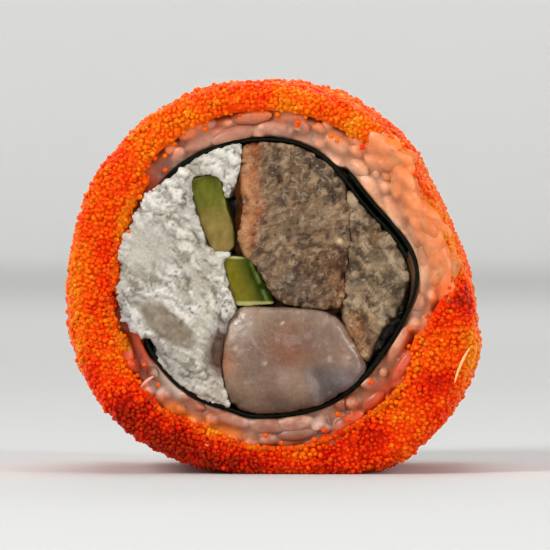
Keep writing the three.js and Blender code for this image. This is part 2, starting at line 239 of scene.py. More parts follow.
def cells(p, seed=0):
    """Distances to the nearest and second nearest of scattered points, one to a unit cell."""
    f = np.floor(p).astype(np.int64)
    best = np.full(len(p), 9.0)
    second = np.full(len(p), 9.0)
    for dx in (-1, 0, 1):
        for dy in (-1, 0, 1):
            for dz in (-1, 0, 1):
                c = f + np.array([dx, dy, dz])
                h = _hash(c[:, 0], c[:, 1], c[:, 2], seed)
                q = c + np.stack([(h & 1023) / 1023, ((h >> 10) & 1023) / 1023, ((h >> 20) & 1023) / 1023], -1)
                d = np.linalg.norm(p - q, axis=1)
                second = np.minimum(second, np.maximum(best, d))
                best = np.minimum(best, d)
    return best, second


def flakes(p, seed=0):
    """For each point: how far it is from the border of its flake, and the flake's own value, 0 to 1."""
    f = np.floor(p).astype(np.int64)
    best = np.full(len(p), 9.0)
    second = np.full(len(p), 9.0)
    own = np.zeros(len(p))
    for dx in (-1, 0, 1):
        for dy in (-1, 0, 1):
            for dz in (-1, 0, 1):
                c = f + np.array([dx, dy, dz])
                h = _hash(c[:, 0], c[:, 1], c[:, 2], seed)
                q = c + np.stack([(h & 1023) / 1023, ((h >> 10) & 1023) / 1023, ((h >> 20) & 1023) / 1023], -1)
                d = np.linalg.norm(p - q, axis=1)
                second = np.minimum(second, np.maximum(best, d))
                own = np.where(d < best, ((h * 40503) & 4095) / 4095, own)
                best = np.minimum(best, d)
    return second - best, own


# ---------------------------------------------------------------------------------------------
# Meshes from arrays, in millimetres of the frame
# ---------------------------------------------------------------------------------------------

def mesh_of(name, verts, faces, metres=True):
    """A mesh from (N, 3) points and (M, k) faces of one kind."""
    me = bpy.data.meshes.new(name)
    verts = np.asarray(verts, np.float64) * (MM if metres else 1.0)
    faces = np.asarray(faces, np.int32)
    n, k = faces.shape
    me.vertices.add(len(verts))
    me.vertices.foreach_set("co", verts.astype(np.float32).ravel())
    me.loops.add(n * k)
    me.loops.foreach_set("vertex_index", faces.ravel())
    me.polygons.add(n)
    me.polygons.foreach_set("loop_start", np.arange(0, n * k, k, dtype=np.int32))
    me.polygons.foreach_set("use_smooth", np.ones(n, bool))
    me.update(calc_edges=True)
    return me


def piece(name, verts, faces, material, node=None, colours=None, bake_uv=None, metres=True):
    me = mesh_of(name, verts, faces, metres)
    if colours is not None:
        at = me.color_attributes.new("tint", "FLOAT_COLOR", "POINT")
        rgba = np.ones((len(verts), 4), np.float32)
        rgba[:, :3] = colours
        at.data.foreach_set("color", rgba.ravel())
    if bake_uv is not None:
        layer = me.uv_layers.new(name="OFBake")
        layer.data.foreach_set("uv", np.asarray(bake_uv, np.float32).ravel())
    ob = bpy.data.objects.new(name, me)
    bpy.context.scene.collection.objects.link(ob)
    me.materials.append(material)
    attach(ob, "root")
    if node:
        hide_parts(*([node] if isinstance(node, str) else node))
    return ob


def grid_faces(rows, cols, wrap_rows=False, wrap_cols=True):
    """Quads over rows x cols points."""
    i = np.arange(rows if wrap_rows else rows - 1)
    j = np.arange(cols if wrap_cols else cols - 1)
    ii, jj = np.meshgrid(i, j, indexing="ij")
    i2, j2 = (ii + 1) % rows, (jj + 1) % cols
    return np.stack([ii * cols + jj, ii * cols + j2, i2 * cols + j2, i2 * cols + jj], -1).reshape(-1, 4)


def outward(verts, faces):
    """The faces, turned over if they enclose a negative volume."""
    v = verts[faces]
    volume = np.einsum("ij,ij->i", v[:, 0], np.cross(v[:, 1], v[:, 2])).sum()
    if faces.shape[1] == 4:
        volume += np.einsum("ij,ij->i", v[:, 0], np.cross(v[:, 2], v[:, 3])).sum()
    return faces if volume > 0 else faces[:, ::-1]


def normals(verts, faces):
    v = verts[faces]
    if faces.shape[1] == 4:
        fn = np.cross(v[:, 2] - v[:, 0], v[:, 3] - v[:, 1])
    else:
        fn = np.cross(v[:, 1] - v[:, 0], v[:, 2] - v[:, 0])
    out = np.zeros_like(verts)
    for k in range(faces.shape[1]):
        np.add.at(out, faces[:, k], fn)
    return out / np.maximum(np.linalg.norm(out, axis=1, keepdims=True), 1e-12)


def node_arrays(node):
    """Points (millimetres) and triangles of a CAD node."""
    me = NODES[node].data
    me.calc_loop_triangles()
    co = np.empty(len(me.vertices) * 3, np.float32)
    me.vertices.foreach_get("co", co)
    tri = np.empty(len(me.loop_triangles) * 3, np.int32)
    me.loop_triangles.foreach_get("vertices", tri)
    return co.reshape(-1, 3).astype(float) / MM, tri.reshape(-1, 3)


def remeshed(verts, faces, voxel):
    """The solid made over as an even mesh of quads about `voxel` millimetres wide."""
    me = mesh_of("tmp", verts, faces, metres=False)
    ob = bpy.data.objects.new("tmp", me)
    bpy.context.scene.collection.objects.link(ob)
    weld = ob.modifiers.new("w", "WELD")
    weld.merge_threshold = 0.0005
    mod = ob.modifiers.new("r", "REMESH")
    mod.mode = "VOXEL"
    mod.voxel_size = voxel
    mod.adaptivity = 0.0
    dg = bpy.context.evaluated_depsgraph_get()
    new = bpy.data.meshes.new_from_object(ob.evaluated_get(dg))
    co = np.empty(len(new.vertices) * 3, np.float32)
    new.vertices.foreach_get("co", co)
    n = len(new.polygons)
    loops = np.empty(len(new.loops), np.int32)
    new.loops.foreach_get("vertex_index", loops)
    bpy.data.objects.remove(ob)
    bpy.data.meshes.remove(me)
    bpy.data.meshes.remove(new)
    return co.reshape(-1, 3).astype(float), loops.reshape(n, 4)


def relaxed(verts, faces, times, amount=0.5):
    """Evens a mesh out without moving its overall shape much."""
    edges = np.concatenate([faces[:, [k, (k + 1) % faces.shape[1]]] for k in range(faces.shape[1])])
    edges = np.unique(np.sort(edges, axis=1), axis=0)
    count = np.bincount(edges.ravel(), minlength=len(verts)).astype(float)[:, None]
    v = verts.copy()
    for _ in range(times):
        s = np.zeros_like(v)
        np.add.at(s, edges[:, 0], v[edges[:, 1]])
        np.add.at(s, edges[:, 1], v[edges[:, 0]])
        v += amount * (s / np.maximum(count, 1) - v)
    return v


# ---------------------------------------------------------------------------------------------
# Materials
# ---------------------------------------------------------------------------------------------

class Mat:
    """A node material, with short ways to add its nodes. Coordinates are in millimetres."""

    def __init__(self, name):
        self.m = bpy.data.materials.new(name)
        self.m.use_nodes = True
        self.t = self.m.node_tree
        self.n = self.t.nodes
        self.bsdf = self.n["Principled BSDF"]
        co = self.n.new("ShaderNodeTexCoord")
        mp = self.n.new("ShaderNodeMapping")
        mp.inputs["Scale"].default_value = (1000, 1000, 1000)
        self.t.links.new(co.outputs["Object"], mp.inputs["Vector"])
        self.co = mp.outputs["Vector"]

    def link(self, a, b):
        self.t.links.new(a, b)
        return b

    def scaled(self, sx, sy, sz, rot=(0, 0, 0)):
        mp = self.n.new("ShaderNodeMapping")
        mp.inputs["Scale"].default_value = (sx, sy, sz)
        mp.inputs["Rotation"].default_value = rot
        self.link(self.co, mp.inputs["Vector"])
        return mp.outputs["Vector"]

    def flow(self, angle, sx, sy, sz):
        """Coordinates turned about Y by the angle, then stretched."""
        turn = self.n.new("ShaderNodeMapping")
        turn.inputs["Rotation"].default_value = (0, angle, 0)
        self.link(self.co, turn.inputs["Vector"])
        mp = self.n.new("ShaderNodeMapping")
        mp.inputs["Scale"].default_value = (sx, sy, sz)
        self.link(turn.outputs["Vector"], mp.inputs["Vector"])
        return mp.outputs["Vector"]

    def noise(self, scale, detail=4, rough=0.55, distort=0.0, co=None):
        n = self.n.new("ShaderNodeTexNoise")
        n.inputs["Scale"].default_value = scale
        n.inputs["Detail"].default_value = detail
        n.inputs["Roughness"].default_value = rough
        n.inputs["Distortion"].default_value = distort
        self.link(co or self.co, n.inputs["Vector"])
        return n.outputs["Fac"]

    def voronoi(self, scale, feature="F1", co=None, out="Distance"):
        n = self.n.new("ShaderNodeTexVoronoi")
        n.feature = feature
        n.inputs["Scale"].default_value = scale
        self.link(co or self.co, n.inputs["Vector"])
        return n.outputs[out]

    def ramp(self, fac, stops):
        n = self.n.new("ShaderNodeValToRGB")
        r = n.color_ramp
        while len(r.elements) < len(stops):
            r.elements.new(0.5)
        for e, (pos, col) in zip(r.elements, stops):
            e.position = pos
            e.color = (*col, 1) if len(col) == 3 else col
        self.link(fac, n.inputs["Fac"])
        return n.outputs["Color"]

    def levels(self, fac, a, b, lo=0.0, hi=1.0):
        n = self.n.new("ShaderNodeMapRange")
        n.inputs["From Min"].default_value = a
        n.inputs["From Max"].default_value = b
        n.inputs["To Min"].default_value = lo
        n.inputs["To Max"].default_value = hi
        self.link(fac, n.inputs["Value"])
        return n.outputs["Result"]

    def mix(self, fac, a, b, kind="MIX"):
        n = self.n.new("ShaderNodeMix")
        n.data_type = "RGBA"
        n.blend_type = kind
        for key, v in (("Factor", fac), ("A", a), ("B", b)):
            s = next(i for i in n.inputs if i.name == key and (key == "Factor" and i.type == "VALUE" or i.type == "RGBA"))
            if isinstance(v, (int, float)):
                s.default_value = v
            elif isinstance(v, tuple):
                s.default_value = (*v, 1)
            else:
                self.link(v, s)
        return next(o for o in n.outputs if o.type == "RGBA")

    def math(self, op, a, b=None):
        n = self.n.new("ShaderNodeMath")
        n.operation = op
        for i, v in enumerate((a, b)):
            if v is None:
                continue
            if isinstance(v, (int, float)):
                n.inputs[i].default_value = v
            else:
                self.link(v, n.inputs[i])
        return n.outputs[0]

    def grey(self, colour):
        n = self.n.new("ShaderNodeRGBToBW")
        self.link(colour, n.inputs["Color"])
        return n.outputs["Val"]

    def tint(self):
        n = self.n.new("ShaderNodeAttribute")
        n.attribute_name = "tint"
        return n.outputs["Color"]

    def bump(self, height, distance_mm, strength=1.0, after=None):
        n = self.n.new("ShaderNodeBump")
        n.inputs["Strength"].default_value = strength
        n.inputs["Distance"].default_value = distance_mm * MM
        self.link(height, n.inputs["Height"])
        if after is not None:
            self.link(after, n.inputs["Normal"])
        return n.outputs["Normal"]

    def set(self, **k):
        names = {
            "color": "Base Color", "rough": "Roughness", "normal": "Normal", "sss": "Subsurface Weight",
            "sss_radius": "Subsurface Radius", "sss_scale": "Subsurface Scale", "coat": "Coat Weight",
            "coat_rough": "Coat Roughness", "spec": "Specular IOR Level", "ior": "IOR", "sheen": "Sheen Weight",
            "trans": "Transmission Weight", "sheen_rough": "Sheen Roughness", "spec_tint": "Specular Tint",
        }
        for key, v in k.items():
            s = self.bsdf.inputs[names[key]]
            if isinstance(v, (int, float)):
                s.default_value = v
            elif isinstance(v, tuple):
                s.default_value = (*v, 1) if key in ("color", "spec_tint") else v
            else:
                self.link(v, s)
        return self


def roe_material(name):
    m = Mat(name)
    cloud = m.noise(1.3, 3, 0.5)
    colour = m.mix(m.levels(cloud, 0.35, 0.7, 0.0, 0.10), m.tint(), (1.0, 0.26, 0.01))
    n = m.bump(m.noise(3.0, 2, 0.5), 0.03, 0.4)
    m.set(color=colour, rough=m.levels(m.noise(0.9, 2, 0.5), 0.3, 0.7, 0.14, 0.28), normal=n, spec=0.17,
          spec_tint=(1.0, 0.42, 0.16), sss=0.7, sss_radius=(1.0, 0.20, 0.02), sss_scale=0.55 * MM,
          coat=0.03, coat_rough=0.12)
    return m.m


def bed_material():
    m = Mat("roe_bed")
    v = m.voronoi(1.5)
    # painted shade: the bed is darkened towards deep red in a cell pattern, as shade between the eggs over it
    dark = m.mix(m.levels(v, 0.1, 0.6, 0.0, 0.15), m.tint(), (0.50, 0.012, 0.002))
    n = m.bump(v, 0.25, 0.8)
    m.set(color=dark, rough=m.levels(v, 0.1, 0.7, 0.35, 0.5), normal=n, sss=0.4, sss_radius=(1.0, 0.16, 0.02),
          sss_scale=0.5 * MM, spec=0.15, spec_tint=(1.0, 0.55, 0.32))
    return m.m


def rice_material(name):
    m = Mat(name)
    cloud = m.noise(0.5, 4, 0.62)
    fine = m.noise(2.6, 5, 0.62)
    c = m.mix(m.levels(cloud, 0.38, 0.66, 0, 0.8), m.tint(), (0.86, 0.70, 0.60), "MULTIPLY")
    c = m.mix(m.levels(fine, 0.47, 0.75, 0, 0.6), c, (0.82, 0.62, 0.50), "MULTIPLY")
    n = m.bump(m.noise(1.9, 4, 0.55), 0.18, 0.5)
    m.set(color=c, rough=m.levels(fine, 0.3, 0.7, 0.26, 0.44), normal=n, spec=0.32, sss=0.5,
          sss_radius=(1.0, 0.45, 0.25), sss_scale=0.8 * MM, coat=0.10, coat_rough=0.2)
    return m.m


def nori_material():
    m = Mat("nori")
    v = m.noise(2.6, 5, 0.65, 0.4)
    c = m.ramp(v, [(0.3, (0.004, 0.005, 0.004)), (0.55, (0.009, 0.011, 0.007)), (0.8, (0.024, 0.026, 0.014))])
    n = m.bump(v, 0.12, 0.8)
    m.set(color=c, rough=m.levels(v, 0.3, 0.7, 0.7, 0.9), normal=n, spec=0.02)
    return m.m


def cheese_material():
    m = Mat("cheese")
    down = math.radians(-42)
    streak = m.noise(1.0, 7, 0.7, 0.5, m.flow(down, 0.30, 0.8, 1.25))
    thread = m.noise(1.0, 6, 0.68, 0.8, m.flow(down, 0.75, 1.2, 2.9))
    fine = m.noise(3.0, 6, 0.68, 0.3)
    c = m.mix(m.levels(streak, 0.48, 0.66, 0, 0.6), m.tint(), (0.68, 0.62, 0.53), "MULTIPLY")
    c = m.mix(m.levels(fine, 0.52, 0.68, 0, 0.7), c, (0.60, 0.52, 0.42), "MULTIPLY")
    pale = m.levels(m.grey(m.tint()), 0.22, 0.42)
    c = m.mix(m.math("MULTIPLY", m.levels(thread, 0.58, 0.70, 0, 0.6), pale), c, (0.80, 0.77, 0.69))
    n = m.bump(fine, 0.25, 0.7)
    n = m.bump(streak, 0.45, 0.6, n)
    n = m.bump(thread, 0.20, 0.5, n)
    m.set(color=c, rough=m.levels(streak, 0.3, 0.7, 0.45, 0.65), normal=n, spec=0.3, sss=0.2,
          sss_radius=(1.0, 0.8, 0.6), sss_scale=0.35 * MM)
    return m.m


def cucumber_material():
    m = Mat("cucumber")
    fine = m.noise(1.6, 4, 0.6)
    c = m.mix(m.levels(fine, 0.45, 0.75, 0, 0.5), m.tint(), (0.85, 0.82, 0.45), "MULTIPLY")
    c = m.mix(m.levels(m.noise(2.7, 4, 0.6), 0.58, 0.76, 0, 0.25), c, (0.20, 0.21, 0.01))
    n = m.bump(m.noise(3.0, 3, 0.5), 0.08, 0.5)
    m.set(color=c, rough=m.levels(fine, 0.3, 0.7, 0.34, 0.52), normal=n, spec=0.06, sss=0.15,
          sss_radius=(0.6, 1.0, 0.03), sss_scale=0.5 * MM, spec_tint=(0.9, 1.0, 0.4))
    return m.m


def fish_material(name, lean):
    """Cooked, pressed flakes: pale threads and dark pits, finest at the cut."""
    m = Mat(name)
    fibre = m.noise(1.0, 6, 0.68, 0.9, m.flow(lean, 0.5, 1.2, 1.9))
    fleck = m.noise(1.05, 5, 0.66, 0.6)
    pit = m.noise(0.85, 5, 0.68, 0.8)
    zone = m.noise(0.30, 3, 0.55, 0.6)
    spark = m.noise(2.4, 4, 0.6)
    c = m.mix(m.levels(zone, 0.44, 0.60, 0, 0.6), m.tint(), (0.62, 0.52, 0.42), "MULTIPLY")
    c = m.mix(m.levels(fibre, 0.50, 0.64, 0, 0.75), c, (0.50, 0.38, 0.27), "MULTIPLY")
    c = m.mix(m.levels(fleck, 0.53, 0.66, 0, 0.55), c, (0.44, 0.34, 0.23))
    c = m.mix(m.levels(pit, 0.55, 0.64, 0, 0.85), c, (0.30, 0.19, 0.10), "MULTIPLY")
    c = m.mix(m.levels(spark, 0.64, 0.74, 0, 0.45), c, (0.62, 0.52, 0.39))
    n = m.bump(fibre, 0.22, 0.6)
    n = m.bump(fleck, 0.20, 0.6, n)
    m.set(color=c, rough=m.levels(fibre, 0.3, 0.7, 0.38, 0.62), normal=n, spec=0.3, sss=0.08,
          sss_radius=(1.0, 0.6, 0.35), sss_scale=0.3 * MM)
    return m.m


def shrimp_material():
    m = Mat("shrimp")
    cloud = m.noise(0.32, 4, 0.6, 0.5)
    fine = m.noise(1.8, 6, 0.65)
    c = m.mix(m.levels(cloud, 0.40, 0.66, 0, 0.8), m.tint(), (0.78, 0.66, 0.60), "MULTIPLY")
    c = m.mix(m.levels(fine, 0.56, 0.76, 0, 0.22), c, (0.36, 0.28, 0.24))
    n = m.bump(m.noise(0.9, 5, 0.55), 0.45, 0.6)
    n = m.bump(m.noise(2.4, 4, 0.6), 0.10, 0.5, n)
    m.set(color=c, rough=m.levels(fine, 0.3, 0.7, 0.16, 0.34), normal=n, spec=0.40, sss=0.35,
          sss_radius=(1.0, 0.55, 0.4), sss_scale=0.8 * MM, coat=0.30, coat_rough=0.10)
    return m.m


# ---------------------------------------------------------------------------------------------
# The roe: where its surface lies, and its colour there
# ---------------------------------------------------------------------------------------------

SIDE = FACE_Y - RIM_R
ARC = RIM_R * math.pi / 2


def coat_point(a, s):
    """The coat's surface at angle a, s millimetres along its section from the middle of the side:
    over the side, round the rim, then inwards over the cut face."""
    end = np.where(s < 0, -1.0, 1.0)
    t = np.abs(s)
    r0 = coat_radius(a, np.minimum(t, SIDE) * end)
    phi = np.clip((t - SIDE) / RIM_R, 0, math.pi / 2)
    over = np.maximum(0, t - SIDE - ARC)
    r = r0 - RIM_R * (1 - np.cos(phi)) - over
    x, z = r * np.cos(a), r * np.sin(a)
    bump = 0.22 * lumps(x, end * 5, z, 8, 2.2 + end)
    y = np.where(t <= SIDE, t, SIDE + RIM_R * np.sin(phi) + bump * smooth(phi / (math.pi / 2)))
    edge = roe_edge(a)
    y = y - 0.5 * smooth((edge + 0.6 - r) / 0.7) * (t > SIDE + ARC)
    return polar(r, y * end, a), r


def coat_normal(a, s):
    e = 0.02
    p0, _ = coat_point(a, s - e)
    p1, _ = coat_point(a, s + e)
    q0, _ = coat_point(a - e / 24, s)
    q1, _ = coat_point(a + e / 24, s)
    n = np.cross(q1 - q0, p1 - p0)
    n /= np.maximum(np.linalg.norm(n, axis=1, keepdims=True), 1e-9)
    mid, _ = coat_point(a, s)
    out = mid - np.array([0, 0, AXIS_Z])
    out[:, 1] = np.where(np.abs(s) > SIDE + ARC * 0.5, out[:, 1] * 3, 0)
    flip = np.einsum("ij,ij->i", n, out) < 0
    n[flip] *= -1
    return n


ROE_RAMP = np.array([
    # share, then red, green, blue
    (0.00, 0.34, 0.002, 0.001),
    (0.20, 0.66, 0.006, 0.001),
    (0.40, 0.92, 0.028, 0.001),
    (0.60, 1.00, 0.108, 0.002),
    (0.80, 1.00, 0.215, 0.004),
    (1.00, 1.00, 0.400, 0.030),
])


def roe_colour(h):
    return np.stack([np.interp(h, ROE_RAMP[:, 0], ROE_RAMP[:, k]) for k in (1, 2, 3)], -1)


# Redder (below 0) and yellower patches of the front face: X, Z, spread along X and Z, amount. The deep red ones along
# the bottom are painted shade, and the yellower strips along the far left and right rims are painted light; the rest
# are the roe's own patches.
ROE_PATCHES_AND_PAINTED_LIGHT = (
    (22.6, 20.0, 1.9, 2.3, -0.58), (18.6, 10.8, 2.4, 1.9, -0.40), (10.8, 4.4, 3.0, 1.6, -0.26),
    (-16.6, 7.0, 3.1, 2.5, -0.95), (-11.6, 3.5, 3.7, 2.1, -0.95), (-5.6, 1.2, 4.4, 1.4, -0.55),
    (4.5, 0.8, 5.0, 1.3, -0.22), (-21.0, 11.6, 1.5, 2.2, -0.20), (23.8, 12.0, 1.2, 4.6, 0.30),
    (19.6, 15.4, 3.0, 1.6, 0.18), (-0.5, 3.5, 4.0, 0.8, 0.22), (-7.2, 5.1, 2.8, 0.8, 0.60), (2.4, 2.2, 2.1, 0.8, 0.45),
    (-23.4, 23.0, 1.1, 7.0, 0.22), (20.6, 28.8, 1.8, 4.0, 0.34), (14.2, 7.0, 2.2, 1.2, 0.16),
    (-20.4, 27.0, 1.4, 2.2, -0.16), (-22.6, 15.4, 1.3, 1.8, 0.14), (1.5, 2.2, 2.0, 0.7, -0.20),
)


def roe_shade(p, jitter=None):
    """How light the roe is at points p of the section: 0 deep red, 1 amber."""
    a = np.arctan2(p[:, 2] - AXIS_Z, p[:, 0])
    h = 0.57 + 0.46 * fbm(p / 5.5, 3, 5) + 0.13 * gnoise(p / 1.5, 9)
    front = smooth((-p[:, 1] - 10) / 5)
    # painted shade: the roe is made redder over the lower part of the slice, a little more on its sides than on the
    # front face
    h -= (0.10 + 0.05 * (1 - front)) * smooth((-np.sin(a) - 0.5) / 0.45)
    torn = 0.75 + 0.5 * gnoise(p / 1.7, 77)
    for x, z, sx, sz, amount in ROE_PATCHES_AND_PAINTED_LIGHT:
        h += front * amount * torn * np.exp(-((p[:, 0] - x) / sx) ** 2 - ((p[:, 2] - z) / sz) ** 2)
    if jitter is not None:
        h = h + jitter
    return np.clip(h, 0, 0.88)


def worn(p):
    """1 where the roe has come away from the rice: the upper right of the front face."""
    a = np.degrees(np.arctan2(p[:, 2] - AXIS_Z, p[:, 0]))
    r = np.hypot(p[:, 0], p[:, 2] - AXIS_Z)
    out = r - radius(OUTLINE, np.radians(a))
    w = smooth((a + 8) / 12) * smooth((58 - a) / 20) * smooth((-p[:, 1] - 13.9) / 1.4) * smooth((-0.75 - out) / 1.2)
    return np.clip(w * (1.1 + 0.9 * gnoise(p / 2.0, 61) + 0.5 * gnoise(p / 0.8, 62)), 0, 1)


SIDES = 7


def egg_template():
    """One egg: a ball of seven sides with its top at +Z."""
    rings = ((40, 1.0), (88, 1.02))
    v = [(0, 0, 1)]
    for tilt, size in rings:
        for j in range(SIDES):
            t = TAU * (j + (0.5 if tilt < 60 else 0)) / SIDES
            v.append((size * math.sin(math.radians(tilt)) * math.cos(t),
                      size * math.sin(math.radians(tilt)) * math.sin(t), size * math.cos(math.radians(tilt))))
    v.append((0, 0, -0.9))
    f, uv = [], []

    def at(i, spin=0.0):
        if i == 0:
            return (0.0, 0.0)
        if i == 2 * SIDES + 1:
            return (math.cos(spin), math.sin(spin))
        ring = (i - 1) // SIDES
        t = TAU * (((i - 1) % SIDES) + (0.5 if ring == 0 else 0)) / SIDES
        rr = (0.36, 0.72)[ring]
        return (rr * math.cos(t), rr * math.sin(t))

    low, end = 1 + SIDES, 2 * SIDES + 1
    for j in range(SIDES):
        k = (j + 1) % SIDES
        f.append((0, 1 + j, 1 + k))
        f.append((1 + j, low + k, 1 + k))
        f.append((1 + j, low + j, low + k))
        f.append((low + j, end, low + k))
    for tri in f:
        spin = 0.0
        if end in tri:
            j = tri[0] - low
            spin = TAU * (j + 0.5) / SIDES
        uv.append([at(i, spin) for i in tri])
    v = np.array(v, float)
    f = np.array(f, int)
    return v, outward(v, f), np.array(uv, float), f


EGG_V, EGG_F, EGG_UV, EGG_F0 = egg_template()
if not np.array_equal(EGG_F, EGG_F0):
    EGG_UV = EGG_UV[:, ::-1]


def eggs(name, centre, normal, size, shade, material):
    """Many eggs as one mesh, each with its own colour and its own place on the bake map."""
    n = len(centre)
    spin = rng.uniform(0, TAU, n)
    up = np.where(np.abs(normal[:, 2:3]) < 0.9, [[0, 0, 1.0]], [[1.0, 0, 0]])
    t1 = np.cross(up, normal)
    t1 /= np.linalg.norm(t1, axis=1, keepdims=True)
    t2 = np.cross(normal, t1)
    c, s = np.cos(spin)[:, None], np.sin(spin)[:, None]
    u, w = t1 * c + t2 * s, t2 * c - t1 * s
    squash = rng.uniform(0.9, 1.06, (n, 3))
    k = size[:, None, None]
    v = (EGG_V[None, :, 0:1] * (u * squash[:, 0:1])[:, None, :] + EGG_V[None, :, 1:2] * (w * squash[:, 1:2])[:, None, :]
         + EGG_V[None, :, 2:3] * (normal * squash[:, 2:3])[:, None, :]) * k + centre[:, None, :]
    v[..., 2] = np.maximum(v[..., 2], 0.0)
    base = roe_colour(shade)
    # painted light and shade: each egg is made lighter and yellower at its top and darker at its base
    painted_top_light = (0.86 + 0.18 * (EGG_V[:, 2] * 0.5 + 0.5))[None, :, None]
    col = base[:, None, :] * painted_top_light
    col[..., 1] *= (0.86 + 0.22 * (EGG_V[:, 2] * 0.5 + 0.5))[None, :]
    faces = (EGG_F[None] + (np.arange(n) * len(EGG_V))[:, None, None]).reshape(-1, 3)
    g = int(math.ceil(math.sqrt(n)))
    cell = np.stack([np.arange(n) % g, np.arange(n) // g], -1)[:, None, None, :]
    uv = (cell + 0.5 + 0.42 * EGG_UV[None]) / g
    return piece(name, v.reshape(-1, 3), faces, material, "roe_coat",
                 np.clip(col.reshape(-1, 3), 0, 1), uv.reshape(-1, 2))


def roe():
    a_list, s_list = [], []
    step = 0.515
    s_max = SIDE + ARC + 7.5
    rows = int(2 * s_max / step)
    for i in range(rows + 1):
        s = -s_max + step * i
        t = abs(s)
        rho = 24.2 if t < SIDE else 24.2 - RIM_R * (1 - math.cos(min(math.pi / 2, (t - SIDE) / RIM_R))) - max(0, t - SIDE - ARC)
        count = int(TAU * rho / 0.58)
        a_list.append(TAU * (np.arange(count) + 0.5 * (i % 2) + rng.uniform(-0.36, 0.36, count)) / count)
        s_list.append(s + rng.uniform(-0.21, 0.21, count))
    a, s = np.concatenate(a_list), np.concatenate(s_list)
    p, r = coat_point(a, s)
    edge = roe_edge(a)
    face = np.abs(s) > SIDE + ARC
    # the roe thins out towards the rice: it ends on a ragged line, with a few strays beyond it
    rag = 0.55 * gnoise(np.stack([p[:, 0], p[:, 1] * 0.2, p[:, 2]], -1) / 1.7, 3) + 0.35 * rng.uniform(-1, 1, len(a))
    inside = r - edge + 0.1 < rag * 0.8
    keep = ~face | ~inside
    keep &= rng.uniform(0, 1, len(a)) > 0.015 + 0.93 * smooth((worn(p) - 0.15) / 0.5)
    a, s, p = a[keep], s[keep], p[keep]
    n = coat_normal(a, s)
    size = np.clip(rng.normal(0.318, 0.022, len(a)), 0.26, 0.38)
    sink = 0.30 + rng.normal(0, 0.055, len(a)) + 0.09 * gnoise(p / 1.7, 21)
    c1 = p - n * sink[:, None]

    # a second, broken layer of eggs lying on the first
    m = int(len(a) * 0.26)
    a2 = rng.uniform(0, TAU, m)
    s2 = rng.uniform(-s_max, s_max, m)
    q, r2 = coat_point(a2, s2)
    clump = fbm(q / 3.2, 2, 40)
    ok = (clump > -0.12) & ((np.abs(s2) <= SIDE + ARC) | (r2 > roe_edge(a2) + 0.25))
    ok &= rng.uniform(0, 1, m) > 0.98 * smooth(worn(q) / 0.35)
    a2, s2, q = a2[ok], s2[ok], q[ok]
    n2 = coat_normal(a2, s2)
    size2 = np.clip(rng.normal(0.315, 0.025, len(a2)), 0.26, 0.37)
    c2 = q + n2 * (0.0 + rng.uniform(-0.08, 0.10, len(a2)))[:, None]

    # strays on the bare rice, the cheese and the fish of the front face, and on the back
    strays = []
    for end, count in ((-1, 26), (1, 30)):
        t = rng.uniform(0, TAU, count)
        rr = roe_edge(t) - np.abs(rng.normal(0.2, 1.1, count)) - 0.2
        strays.append(polar(rr, end * (RICE_BAND_Y + 0.22), t))
    # and a crowd of them against the torn edge of the cheese
    t = np.radians(rng.uniform(140, 205, 520))
    rr = roe_edge(t) + rng.uniform(-0.80, 0.40, len(t))
    depth = 0.45 * smooth((roe_edge(t) - rr) / 1.0)
    strays.append(polar(rr, -(FACE_Y - 0.40 - depth + rng.uniform(-0.18, 0.18, len(t))), t))
    # more of them lie over the rice along the bottom, thickest at the lower left
    t = np.radians(rng.uniform(-138, -38, 420))
    reach = 0.25 + 1.0 * np.exp(-((np.degrees(t) + 117) / 11) ** 2)
    rr = roe_edge(t) + 0.25 - rng.uniform(0, 1, len(t)) ** 1.3 * reach
    strays.append(polar(rr, -(RICE_BAND_Y + 0.05 + rng.uniform(-0.2, 0.15, len(t))), t))
    c3 = np.concatenate(strays)
    n3 = np.zeros_like(c3)
    n3[:, 1] = np.sign(c3[:, 1])
    size3 = rng.uniform(0.28, 0.36, len(c3))

    centre = np.concatenate([c1, c2, c3])
    normal = np.concatenate([n, n2, n3])
    size = np.concatenate([size, size2, size3])
    jitter = rng.normal(0, 0.055, len(centre)) + 0.16 * (rng.uniform(0, 1, len(centre)) > 0.95)
    jitter[len(c1):len(c1) + len(c2)] += 0.05
    shade = roe_shade(centre, jitter)
    centre = settle(centre)
    centre[:, 2] = np.maximum(centre[:, 2], size * 0.93)
    order = np.argsort(shade, kind="stable")
    names = ("roe_deep_red", "roe_red", "roe_red_orange", "roe_orange", "roe_amber")
    groups = np.array_split(order, len(names))
    for name, g in zip(names, groups):
        eggs(name, centre[g], normal[g], size[g], shade[g], roe_material(name))
    print("eggs", len(centre), "triangles", len(centre) * len(EGG_F), "largest piece", max(len(g) for g in groups) * len(EGG_F))


